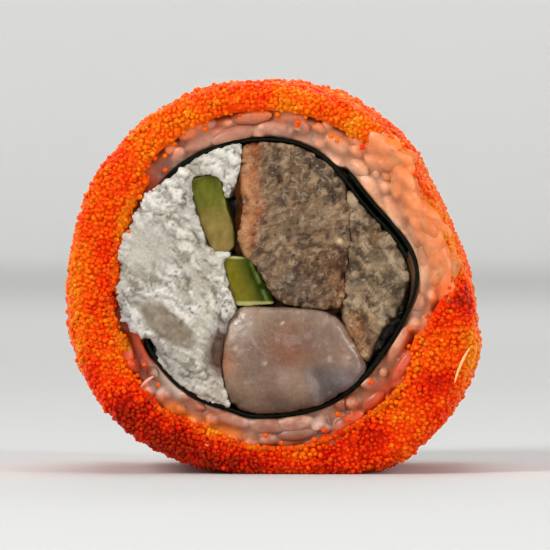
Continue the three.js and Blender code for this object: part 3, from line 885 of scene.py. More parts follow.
def roe_bed():
    """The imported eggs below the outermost, as one bumpy body under them."""
    cols = 300
    a = TAU * np.arange(cols) / cols
    rows = []
    s_face = SIDE + ARC
    path = list(np.linspace(-s_face, s_face, 74))
    inner = []
    for s in path:
        p, _ = coat_point(a, np.full(cols, s))
        n = coat_normal(a, np.full(cols, s))
        rows.append(p - n * (0.30 + 1.0 * worn(p))[:, None])
    for end in (1, -1):
        edge = roe_edge(a) + 0.15
        r_out = np.hypot(rows[-1 if end > 0 else 0][:, 0], rows[-1 if end > 0 else 0][:, 2] - AXIS_Z)
        strip = []
        for u in (0.33, 0.66, 1.0):
            r = r_out + (edge - r_out) * u
            x, z = r * np.cos(a), r * np.sin(a)
            y = FACE_Y + 0.22 * lumps(x, end * 5, z, 8, 2.2 + end) - 0.32 - 0.3 * (u == 1.0)
            y = y - 1.0 * worn(polar(r, end * y, a))
            strip.append(polar(r, y * end, a))
        strip.append(polar(edge, end * (RICE_Y + GAP), a))
        strip.append(polar(rice_radius(a, RICE_Y) + GAP, end * (RICE_Y + GAP), a))
        inner.append(strip)
    ring = rows + inner[0] + [polar(rice_radius(a, 0.0 * a) + GAP, y, a) for y in (8.0, -8.0)] + inner[1][::-1]
    v = np.stack(ring)
    relief = 0.10 * gnoise(v.reshape(-1, 3) / 0.8, 8).reshape(v.shape[:2])
    v[:74] += relief[:74, :, None] * (v[:74] - np.array([0, 0, AXIS_Z])) / 24
    flat = v.reshape(-1, 3)
    f = grid_faces(len(ring), cols, wrap_rows=True)
    # painted shade: the bed is made a little redder than the eggs over it
    shade = roe_shade(flat) - 0.02
    out = settle(flat, 0.12)
    col = lerp(roe_colour(np.clip(shade, 0, 1)), np.tile([0.86, 0.40, 0.22], (len(flat), 1)), 0.9 * worn(flat))
    piece("roe_bed", out, outward(out, f), bed_material(), "roe_coat", col)


# ---------------------------------------------------------------------------------------------
# Rice: a smaller ring, and real grains where it shows at the cut faces
# ---------------------------------------------------------------------------------------------

def rice_tint(p):
    """Rice takes up the roe's juice: greyish pink beside the seaweed, orange under the roe."""
    a = np.arctan2(p[:, 2] - AXIS_Z, p[:, 0])
    r = np.hypot(p[:, 0], p[:, 2] - AXIS_Z)
    inner = nori_outside(a)
    t = np.clip((r - inner) / np.maximum(roe_edge(a) - inner, 0.8), 0, 1.3)
    d = np.degrees(a)
    front = smooth((-p[:, 1] - 5) / 5)
    right = smooth((d + 22) / 14) * smooth((85 - d) / 20)
    low = smooth((d + 152) / 12) * smooth((-100 - d) / 14)
    n = len(p)
    base = lerp(np.tile([0.44, 0.225, 0.165], (n, 1)), np.tile([0.66, 0.38, 0.27], (n, 1)), right)
    # a redder stretch at the lower left, a browner one beside the torn end of the cheese
    base = lerp(base, np.tile([0.36, 0.125, 0.065], (n, 1)), 0.75 * low * front)
    base = lerp(base, np.tile([0.64, 0.56, 0.49], (n, 1)), 0.9 * front * smooth((0.42 - t) / 0.25)
                * smooth((d + 147) / 6) * smooth((-125 - d) / 6))
    wet = lerp(np.tile([0.66, 0.165, 0.035], (n, 1)), np.tile([0.80, 0.27, 0.085], (n, 1)), right)
    w = smooth((t - 0.35 + 0.3 * gnoise(p / 1.6, 15)) / 0.75)
    col = lerp(base, wet, np.clip(w, 0, 1) * (0.92 - 0.2 * right))
    # where the roe has come away the rice goes from whitish to amber at the rim
    out = r - radius(OUTLINE, a)
    bare = front * smooth((d + 6) / 10) * smooth((62 - d) / 14)
    col = lerp(col, np.tile([0.92, 0.26, 0.045], (n, 1)), 0.85 * bare * smooth((out + 2.4 + 0.8 * gnoise(p / 1.8, 16)) / 1.6))
    col = lerp(col, np.tile([0.74, 0.47, 0.34], (n, 1)), 0.8 * bare * smooth((0.42 - t + 0.3 * gnoise(p / 2.0, 18)) / 0.3))
    rim = smooth((d + 12) / 6) * smooth((4 - d) / 8) * front
    col = lerp(col, np.tile([0.90, 0.20, 0.03], (n, 1)), 0.85 * rim * smooth((t - 0.55) / 0.3))
    col = lerp(col, col * [0.95, 0.80, 0.62], 0.9 * right * front)
    col = lerp(col, col * [0.95, 0.86, 0.76], 0.8 * front * (1 - right))
    below = smooth((d + 72) / 14) * smooth((-14 - d) / 12) * front
    col = lerp(col, col * [0.96, 0.44, 0.18], 0.9 * below * smooth((t - 0.30) / 0.35))
    col = lerp(col, np.tile([0.32, 0.135, 0.080], (n, 1)), 0.7 * below * smooth((-30 - d) / 10) * smooth((0.40 - t) / 0.3))
    left = np.where(d < 0, d + 360, d)
    juice = smooth((left - 134) / 8) * smooth((216 - left) / 6) * front
    col = lerp(col, np.tile([0.78, 0.085, 0.008], (n, 1)), 0.95 * juice)
    pale = smooth((gnoise(p / 1.5, 91) - 0.12) / 0.25) * smooth((0.62 - t) / 0.3) * (1 - juice)
    col = lerp(col, np.tile([0.70, 0.50, 0.42], (n, 1)), 0.40 * pale)
    # along the bottom it is mauve with whitish lumps, and amber where it meets the roe at the left
    middle = smooth((d + 106) / 8) * smooth((-62 - d) / 10) * front
    col = lerp(col, np.tile([0.36, 0.175, 0.120], (n, 1)), 0.85 * middle * smooth((1.05 - t) / 0.4))
    col = lerp(col, np.tile([0.62, 0.46, 0.39], (n, 1)),
               0.40 * middle * smooth((gnoise(p / 0.95, 93) - 0.02) / 0.3) * smooth((0.95 - t) / 0.3))
    amber = smooth((d + 134) / 8) * smooth((-97 - d) / 8) * front
    col = lerp(col, np.tile([0.90, 0.25, 0.016], (n, 1)), 0.85 * amber * smooth((t - 0.36) / 0.3))
    for cx, cz, sx, sz, share in ((5.0, 5.8, 1.3, 1.1, 0.75), (-2.6, 6.4, 0.9, 0.5, 0.5), (1.4, 5.2, 1.0, 0.5, 0.4),
                                  (-13.2, 10.2, 1.6, 0.8, 0.6)):
        spot = 0.85 * share * np.exp(-((p[:, 0] - cx) / sx) ** 2 - ((p[:, 2] - cz) / sz) ** 2) * front
        col = lerp(col, np.tile([0.70, 0.61, 0.57], (n, 1)), spot)
    col = lerp(col, col * [0.88, 0.78, 0.70], middle)
    col = lerp(col, col * [1.0, 0.74, 0.50], 0.85 * below)
    # a dark red spot beside the cheese's torn end
    dark_red_spot = np.exp(-((p[:, 0] + 15.2) / 0.9) ** 2 - ((p[:, 2] - 12.5) / 1.2) ** 2) * front
    col = lerp(col, np.tile([0.20, 0.012, 0.006], (n, 1)), np.clip(1.1 * dark_red_spot, 0, 0.9))
    # painted shade: the opening beside the seaweed below the cheese's torn end is painted near black
    col = lerp(col, np.tile([0.006, 0.005, 0.004], (n, 1)), slit(a, r) * front)
    return col * (1 + 0.16 * gnoise(p / 2.2, 44))[:, None]


def slit(a, r):
    """The opening between the seaweed and the rice below the cheese's torn end: 1 inside it."""
    d = np.mod(np.degrees(a), 360.0)
    wide = 0.42 * smooth((d - 203) / 4) * (1 - 0.7 * smooth((d - 207) / 11)) * smooth((222 - d) / 6)
    return smooth((wide - (r - nori_outside(a))) / 0.2) * (wide > 0.05)


CORE_Y = 12.0


def rice_end(end):
    """The last few millimetres of the rice ring at one cut face: rows round a closed section."""
    cols = 260
    a = TAU * np.arange(cols) / cols
    inner = nori_outside(a) + 0.10
    start = radius(OUTLINE, a) - BARREL - RIM_R
    rows = []
    for u in np.linspace(0, 1, 20):
        r = inner + (start - inner) * u
        p = polar(r, end * FACE_Y, a)
        open_ = (1 - smeared(a, end)) * smooth((roe_edge(a) - r + 0.1) / 0.5)
        y = RICE_Y - 0.75 + 0.70 * open_
        y = y + (FACE_Y - 0.85 - y) * worn(p) * (end < 0)
        y = y - 1.5 * slit(a, r) * (end < 0)
        rows.append(polar(r, end * y, a))
    for s in np.linspace(SIDE + ARC - 0.5, CORE_Y, 9):
        p, _ = coat_point(a, np.full(cols, end * s))
        n = coat_normal(a, np.full(cols, end * s))
        rows.append(p - n * (1.5 - 0.65 * worn(p))[:, None])
    rows.append(polar(behind(a), end * CORE_Y, a))
    rows.append(polar(behind(a), end * 14.2, a))
    v = np.stack(rows).reshape(-1, 3)
    return v, outward(v, grid_faces(len(rows), cols, wrap_rows=True))


def behind(a):
    """The rice's inner radius behind the cut, closed on the seaweed and filling the step of its lap."""
    d = np.degrees(a)
    e = np.where(d > 180, d - 360, d)
    lap = smooth((e + 24) / 6) * smooth((14 - e) / 4)
    return nori_outside(a) - 0.2 - (nori_outside(a) - radius(LOOP, a) - 0.05) * lap


def rice_middle():
    """The hidden length of the ring."""
    cols = 120
    a = TAU * np.arange(cols) / cols
    inner = behind(a)
    rows = [polar(inner, -CORE_Y - 0.1, a)]
    for y in np.linspace(-CORE_Y - 0.1, CORE_Y + 0.1, 5):
        rows.append(polar(rice_radius(a, y + 0 * a) - 0.25, y, a))
    rows.append(polar(inner, CORE_Y + 0.1, a))
    v = np.stack(rows).reshape(-1, 3)
    f = grid_faces(len(rows), cols, wrap_rows=True)
    out = settle(v)
    piece("rice_middle", out, outward(out, f), rice_material("rice_middle"), "rice", rice_tint(v))


def ball(levels):
    """Points and triangles of a unit ball from a split octahedron."""
    v = [(1, 0, 0), (-1, 0, 0), (0, 1, 0), (0, -1, 0), (0, 0, 1), (0, 0, -1)]
    f = [(0, 2, 4), (2, 1, 4), (1, 3, 4), (3, 0, 4), (2, 0, 5), (1, 2, 5), (3, 1, 5), (0, 3, 5)]
    v = [np.array(p, float) for p in v]
    for _ in range(levels):
        seen, new = {}, []

        def mid(i, j):
            key = (min(i, j), max(i, j))
            if key not in seen:
                m = v[i] + v[j]
                v.append(m / np.linalg.norm(m))
                seen[key] = len(v) - 1
            return seen[key]

        for a, b, c in f:
            ab, bc, ca = mid(a, b), mid(b, c), mid(c, a)
            new += [(a, ab, ca), (ab, b, bc), (ca, bc, c), (ab, bc, ca)]
        f = new
    return np.array(v), np.array(f)


def grain(c, axis, side, third, size, seed, ballv):
    p = (ballv[:, 0:1] * size[0] * axis + ballv[:, 1:2] * size[1] * side + ballv[:, 2:3] * size[2] * third)
    p *= (1 + 0.07 * gnoise(ballv * 1.4, seed))[:, None]
    return p + c


def band_grains(end, ballv):
    """Grains side by side over the bare band beside the seaweed: points of each, in the section."""
    out = []
    row = 0
    while row < 4:
        angle = rng.uniform(0, 0.1)
        while angle < TAU:
            one = np.array([angle])
            inner = float(nori_outside(one)[0])
            edge = float(roe_edge(one)[0])
            r = inner + 0.85 + row * 1.55 + rng.uniform(-0.3, 0.3)
            step = rng.uniform(1.9, 2.8) / max(r, 1)
            if r < edge + 0.9 and not (float(smeared(one, end)[0]) > 0.6 and rng.uniform() < 0.8):
                t = angle + rng.uniform(-0.02, 0.02)
                length, width, thick = rng.uniform(2.3, 3.0), rng.uniform(0.98, 1.28), rng.uniform(0.9, 1.12)
                if rng.uniform() < 0.27:
                    axis = np.array([-math.sin(t), rng.uniform(-0.35, 0.35), math.cos(t)])
                    step = rng.uniform(3.2, 4.2) / max(r, 1)
                else:
                    axis = np.array([0.35 * rng.normal(), 1.0, 0.35 * rng.normal()])
                axis /= np.linalg.norm(axis)
                side = np.cross(axis, [math.cos(t), 0.2, math.sin(t)])
                side /= np.linalg.norm(side)
                third = np.cross(axis, side)
                reach = math.sqrt((axis[1] * length) ** 2 + (side[1] * width) ** 2 + (third[1] * thick) ** 2)
                top = RICE_BAND_Y + rng.uniform(-0.45, 0.30)
                c = np.array([r * math.cos(t), end * (top - reach), AXIS_Z + r * math.sin(t)])
                p = grain(c, axis, side, third, (length, width, thick), int(rng.integers(1, 9999)), ballv)
                # the knife has flattened what stood out
                over = end * p[:, 1] - (top - 0.30)
                p[:, 1] -= end * np.where(over > 0, over * 0.30, 0)
                rr = np.hypot(p[:, 0], p[:, 2] - AXIS_Z)
                aa = np.arctan2(p[:, 2] - AXIS_Z, p[:, 0])
                fix = np.clip(rr, nori_outside(aa) + 0.06, rice_radius(aa, RICE_Y) - 0.1) / np.maximum(rr, 1e-6)
                p[:, 0] *= fix
                p[:, 2] = AXIS_Z + (p[:, 2] - AXIS_Z) * fix
                if end > 0 or slit(aa, rr).max() < 0.5:
                    out.append(p)
            angle += step
        row += 1
    return out


def bare_grains(ballv):
    """Grains laid bare where the roe has come away, lying along the slice's surface."""
    out = []
    for _ in range(64):
        t = math.radians(rng.uniform(-6, 66))
        one = np.array([t])
        top_r = float(radius(OUTLINE, one)[0]) - BARREL
        run = rng.uniform(float(roe_edge(one)[0]) - 0.4, top_r - 0.3)
        if run < top_r - RIM_R:
            s = -(SIDE + ARC + top_r - RIM_R - run)
        else:
            s = -(SIDE + RIM_R * math.acos(min(1.0, max(0.0, 1 - (top_r - run) / RIM_R))))
        at, _ = coat_point(one, np.array([s]))
        if worn(at)[0] < 0.35:
            continue
        n = coat_normal(one, np.array([s]))[0]
        lean = rng.normal() * 0.7
        axis = np.array([-math.sin(t), 0.2 * rng.normal(), math.cos(t)]) + lean * np.array([math.cos(t), 0, math.sin(t)])
        axis -= n * float(axis @ n)
        axis /= np.linalg.norm(axis)
        out.append(grain(at[0] - n * rng.uniform(0.85, 1.1), axis, np.cross(axis, n), n,
                         (rng.uniform(2.2, 2.9), 1.3, 1.0), int(rng.integers(1, 9999)), ballv))
    return out


def rice():
    """Each end: grains pressed into the ring and grown together with it, and loose grains on top."""
    bv, bf = ball(3)
    loose, loose_faces = [], []
    for end, name in ((-1, "rice_front"), (1, "rice_back")):
        core, core_f = rice_end(end)
        grains = band_grains(end, bv) + (bare_grains(bv) if end < 0 else [])
        verts = [core]
        faces = [np.concatenate([core_f[:, [0, 1, 2]], core_f[:, [0, 2, 3]]])]
        base = len(core)
        for i, g in enumerate(grains):
            if i % 3 == 2:
                loose_faces.append(bf + len(bv) * len(loose))
                loose.append(g)
                continue
            verts.append(g)
            faces.append(bf + base)
            base += len(g)
        v, f = remeshed(np.concatenate(verts), np.concatenate(faces), 0.24)
        v = relaxed(v, f, 2)
        out = settle(v, 0.1)
        # painted shade and light: clefts between grains are painted darker, their crowns paler, and the crowns at the
        # cut face whiter as painted highlights
        f = outward(out, f)
        n = normals(v, f)
        ring = relaxed(v, f, 6)
        crown = np.einsum("ij,ij->i", v - ring, n)
        painted_light_and_shade = np.clip(crown * 6.0, -0.6, 0.5)
        col = rice_tint(v) * (1 + painted_light_and_shade)[:, None]
        col = lerp(col, np.tile([0.80, 0.56, 0.46], (len(v), 1)), 0.55 * np.clip(painted_light_and_shade - 0.12, 0, 1) * (end * v[:, 1] > 14))
        piece(name, out, f, rice_material(name), "rice", np.clip(col, 0, 1))
        print(name, "quads", len(f), "grains", len(grains))
    v = np.concatenate(loose)
    tone = np.repeat(rng.uniform(0.92, 1.14, len(loose)), len(bv))[:, None]
    piece("rice_loose", settle(v, 0.1), np.concatenate(loose_faces), rice_material("rice_loose"), "rice",
          np.clip(rice_tint(v) * tone, 0, 1))


def slivers():
    """Thin broken grains: one caught on the roe at the lower right, one below the cheese's torn end."""
    bv, bf = ball(3)
    parts, faces, tones = [], [], []
    for x0, y0, z0, long, thin, lean, tone in (
            (22.1, -17.42, 13.0, 2.3, 0.17, -24, (0.98, 0.56, 0.25)), (-14.9, -16.75, 11.0, 1.05, 0.2, -50, (0.80, 0.36, 0.30))):
        p = bv * np.array([thin, thin, long])
        p[:, 0] += 0.09 * bv[:, 2] ** 2 * long
        t = math.radians(lean)
        x = p[:, 0] * math.cos(t) - p[:, 2] * math.sin(t)
        z = p[:, 0] * math.sin(t) + p[:, 2] * math.cos(t)
        faces.append(bf + len(bv) * len(parts))
        parts.append(np.stack([x + x0, p[:, 1] + y0 + (0.1 * (x + 1.0) ** 2 if x0 > 0 else 0), z + z0], -1))
        tones.append(np.tile(tone, (len(bv), 1)))
    piece("rice_sliver", settle(np.concatenate(parts)), np.concatenate(faces), rice_material("rice_sliver"),
          "rice", np.concatenate(tones))


# ---------------------------------------------------------------------------------------------
# The seaweed
# ---------------------------------------------------------------------------------------------

def nori_sheet():
    steps = 560
    turn = np.linspace(NORI_START, NORI_START + 360 + NORI_LAP, steps)
    t = np.radians(turn)
    mid = radius(LOOP, t) + NORI_STEP * smooth((turn - (NORI_START + 360 - NORI_RAMP)) / NORI_RAMP)
    rows = []
    thick = 0.21 + 0.05 * np.sin(t * 7)

    def edge(end):
        q = np.stack([t * 18, np.full(steps, end * 3.0), turn / 40], -1)
        return NORI_Y + 0.20 + 0.22 * gnoise(q / 1.7, 5) + 0.12 * gnoise(q / 0.55, 6)

    def wob(y, k):
        q = np.stack([t * 17, np.full(steps, y), np.zeros(steps)], -1)
        return 0.07 * gnoise(q / 1.5, 70 + k) * smooth(np.abs(y) / 16)

    levels = [(-1, 0.0), (-1, 0.25), (-1, 0.8), (-1, 2.5), (-1, 8.0)]
    ys = [-(edge(-1) - d) for _, d in levels] + [np.zeros(steps)] + [(edge(1) - d) for _, d in levels[::-1]]
    slim = [0.45, 0.95, 1, 1, 1, 1, 1, 1, 1, 0.95, 0.45]
    for k, (y, w) in enumerate(zip(ys, slim)):
        rows.append(np.stack([mid + thick * w + wob(float(y.mean()), 1), y], -1))
    for k, (y, w) in enumerate(list(zip(ys, slim))[::-1]):
        rows.append(np.stack([mid - thick * w + wob(float(y.mean()), 1), y], -1))
    section = np.stack(rows, 1)          # steps x rows x (r, y)
    v = np.stack([section[..., 0] * np.cos(t)[:, None], section[..., 1], AXIS_Z + section[..., 0] * np.sin(t)[:, None]], -1)
    n = section.shape[1]
    f = grid_faces(steps, n)
    half = n // 2
    caps = []
    for base in (0, (steps - 1) * n):
        for k in range(half - 1):
            caps.append((base + k, base + k + 1, base + n - 2 - k, base + n - 1 - k))
    out = settle(v.reshape(-1, 3))
    caps = np.array(caps)
    caps[: half - 1] = caps[: half - 1]
    caps[half - 1:] = caps[half - 1:][:, ::-1]
    both = np.concatenate([f, caps])
    piece("nori_sheet", out, outward(out, both), nori_material(), "nori")


# ---------------------------------------------------------------------------------------------
# The fillings
# ---------------------------------------------------------------------------------------------

def near_ends(v, depth=3.0, at=16.0):
    """1 at the cut faces, falling to 0 inside."""
    return smooth((np.abs(v[:, 1]) - (at - depth)) / depth)


def filled_out(v, n, by, cut=0.10):
    """Closes the slits between the fillings: well inside the slice, and a little at the cuts."""
    inside = smooth((14.6 - np.abs(v[:, 1])) / 1.6)
    side = n * [1, 0, 1]
    return v + side * (by * inside + cut * (1 - inside))[:, None]


def pressed(v, w, by=0.24):
    """Pushes a filling against the seaweed where it lies beside it, at the cut faces."""
    a = np.arctan2(v[:, 2] - AXIS_Z, v[:, 0])
    r = np.hypot(v[:, 0], v[:, 2] - AXIS_Z)
    grow = by * smooth((r - radius(LOOP, a) + 2.0) / 1.3) * (r < radius(LOOP, a) + 0.2) * w
    v = v.copy()
    v[:, 0] += grow * np.cos(a)
    v[:, 2] += grow * np.sin(a)
    return v


def toned(col, x, z, share, spots):
    """Adds broad patches of colour: X, Z, spread along X and Z, amount, then red, green, blue."""
    for cx, cz, sx, sz, amount, r, g, b in spots:
        w = amount * np.exp(-((x - cx) / sx) ** 2 - ((z - cz) / sz) ** 2)
        col = lerp(col, np.tile([r, g, b], (len(col), 1)), np.clip(w * share, 0, 1))
    return col


def terraced(h, edge=0.22):
    """Turns smooth relief into plates with steep edges."""
    k = np.floor(h)
    return k + smooth((h - k - 0.5 + edge / 2) / edge)


def lerp(a, b, t):
    return a + (b - a) * t[:, None]


def torn_gap(a, r):
    """The open wedge between the cheese's torn lower end and the seaweed: 1 inside it."""
    d = np.mod(np.degrees(a), 360.0)
    wide = 0.62 * smooth((d - 203) / 2.5) * (1 - 0.7 * smooth((d - 207) / 12)) * smooth((230 - d) / 8)
    return smooth((r - (radius(LOOP, a) - 0.2 - wide)) / 0.22) * (wide > 0.05) * (d > 200)


def cheese():
    v, f = remeshed(*node_arrays("cream_cheese"), 0.24)
    v = relaxed(v, f, 3)
    f = outward(v, f)
    n = normals(v, f)
    w = near_ends(v)
    x, z = v[:, 0], v[:, 2]
    front = (v[:, 1] < 0).astype(float)
    c, s = math.cos(math.radians(42)), math.sin(math.radians(42))
    along, over = x * c - z * s, x * s + z * c
    warp = 1.3 * fbm(v / 3.4, 3, 71)
    q = np.stack([along / 4.6, v[:, 1] / 1.8, (over + warp) / 1.35], -1)
    calm = np.exp(-(((x + 14.6) / 2.9) ** 2 + ((z - 26.4) / 3.0) ** 2) ** 1.5) * front
    smear = np.exp(-(((along + 20.9) / 4.4) ** 2 + ((over - 4.9 + 0.4 * gnoise(v / 1.6, 83)) / 1.75) ** 2)) * front
    jag = 0.5 * gnoise(v / 1.1, 14) + 0.3 * gnoise(v / 0.5, 15)
    border, own = flakes(np.stack([(along + jag) / 2.7, v[:, 1] / 1.8, (over + warp + 0.8 * jag) / 1.15], -1), 47)
    border2, own2 = flakes(np.stack([(along - jag) / 1.2, v[:, 1] / 1.2, (over + 0.6 * warp + jag) / 0.62], -1), 48)
    fine = ridged(np.stack([along / 1.3, v[:, 1], over / 0.55], -1), 4, 19, 0.62)
    split = (1 - smooth(border / 0.16)) * smooth((own - 0.30) / 0.2)
    crack = np.exp(-(gnoise(q * 1.25, 41) / 0.05) ** 2) * smooth((gnoise(v / 3.2, 43) + 0.1) / 0.3)
    crack = np.clip(crack + 0.8 * split, 0, 1)
    d = 0.44 * (own - 0.5) + 0.26 * (own2 - 0.5) + 0.16 * fine + 0.16 * fbm(v / 1.3, 4, 3) - 0.40 * crack
    quiet = np.clip(calm + 0.85 * smear + 0.45 * smooth((np.hypot(n[:, 0], n[:, 2]) - 0.35) / 0.3) * (x > -12), 0, 1)
    d = d * (1 - 0.85 * quiet)
    # the outer edge is torn into crumbs
    r = np.hypot(x, z - AXIS_Z)
    a = np.arctan2(z - AXIS_Z, x)
    f1, f2 = cells(np.stack([x, v[:, 1] * 0.7, z], -1) / 1.25, 19)
    crumb = smooth((f2 - f1) / 0.35)
    rim = smooth((r - nori_outside(a) - 0.2) / 0.8)
    d += rim * (0.34 * (crumb - 0.5) + 0.34 * gnoise(v / 0.85, 6))
    tear = torn_gap(a, r) * front
    v = pressed(v + n * (d * w)[:, None], w * (1 - tear))
    v = filled_out(v, n, 0.35 * (1 - rim))
    v[:, 1] += 1.7 * tear * w
    relief = np.clip(1.15 * (own - 0.5) + 1.0 * (own2 - 0.5) + 0.55 * fine - 0.08, -1, 1)
    # painted light and shade: raised flakes are painted paler and sunken ones darker
    light = np.array([0.56, 0.52, 0.445])
    col = lerp(np.tile(light, (len(v), 1)), np.tile([0.27, 0.225, 0.165], (len(v), 1)), smooth((-relief - 0.05) / 0.55) * 0.9)
    col = lerp(col, np.tile([0.86, 0.82, 0.74], (len(v), 1)), smooth((relief - 0.15) / 0.45) * 0.9)
    # thin bright ridges and thin dark splits run down to the right: the ridges are painted highlights, and the splits,
    # which are sunk into the surface, are painted shade
    painted_highlight_line = np.exp(-(gnoise(np.stack([along / 5.0, v[:, 1] / 3, (over + 0.7 * warp) / 1.5], -1), 52) / 0.055) ** 2)
    col = lerp(col, np.tile([0.92, 0.89, 0.82], (len(v), 1)), 0.8 * painted_highlight_line * smooth((gnoise(v / 2.4, 53) + 0.15) / 0.3))
    col = lerp(col, np.tile([0.095, 0.072, 0.048], (len(v), 1)), 0.72 * crack * (1 - quiet))
    col = lerp(col, np.tile([0.53, 0.495, 0.425], (len(v), 1)), 0.92 * np.clip(1.25 * calm, 0, 1))
    col = lerp(col, np.tile([0.225, 0.165, 0.105], (len(v), 1)),
               np.clip(smooth((smear - 0.30) / 0.25) * (0.86 + 0.3 * gnoise(v / 0.9, 4)), 0, 0.94))
    col = toned(col, x, z, front, (
        (-9.2, 28.8, 2.6, 2.2, 0.45, 0.62, 0.58, 0.50), (-8.0, 24.0, 1.7, 3.0, 0.55, 0.40, 0.35, 0.27),
        (-17.2, 17.2, 1.5, 2.8, 0.75, 0.46, 0.43, 0.43), (-11.6, 11.6, 1.5, 1.6, 0.65, 0.31, 0.29, 0.25), (-12.4, 14.4, 1.4, 1.5, 0.60, 0.36, 0.32, 0.29),
        (-6.6, 10.2, 2.4, 2.0, 0.45, 0.55, 0.44, 0.33), (-7.9, 18.6, 0.8, 3.2, 0.75, 0.74, 0.68, 0.56),
        (-16.2, 30.2, 2.0, 1.2, 0.40, 0.66, 0.62, 0.55), (-13.4, 20.6, 1.4, 0.8, 0.55, 0.70, 0.66, 0.58)))
    # painted shade: the open wedge below the cheese's torn end is painted near black
    col = lerp(col, np.tile([0.004, 0.004, 0.003], (len(v), 1)), tear)
    brown = np.exp(-((x + 6.2 - 0.10 * (z - 14)) / 1.45) ** 2 - ((z - 14.6) / 2.7) ** 2) * front
    col = lerp(col, np.tile([0.080, 0.024, 0.006], (len(v), 1)), np.clip(1.6 * brown * (1 + 0.3 * gnoise(v / 0.9, 31)), 0, 0.94))
    piece("cheese", v, f, cheese_material(), "cream_cheese", np.clip(col, 0, 1))


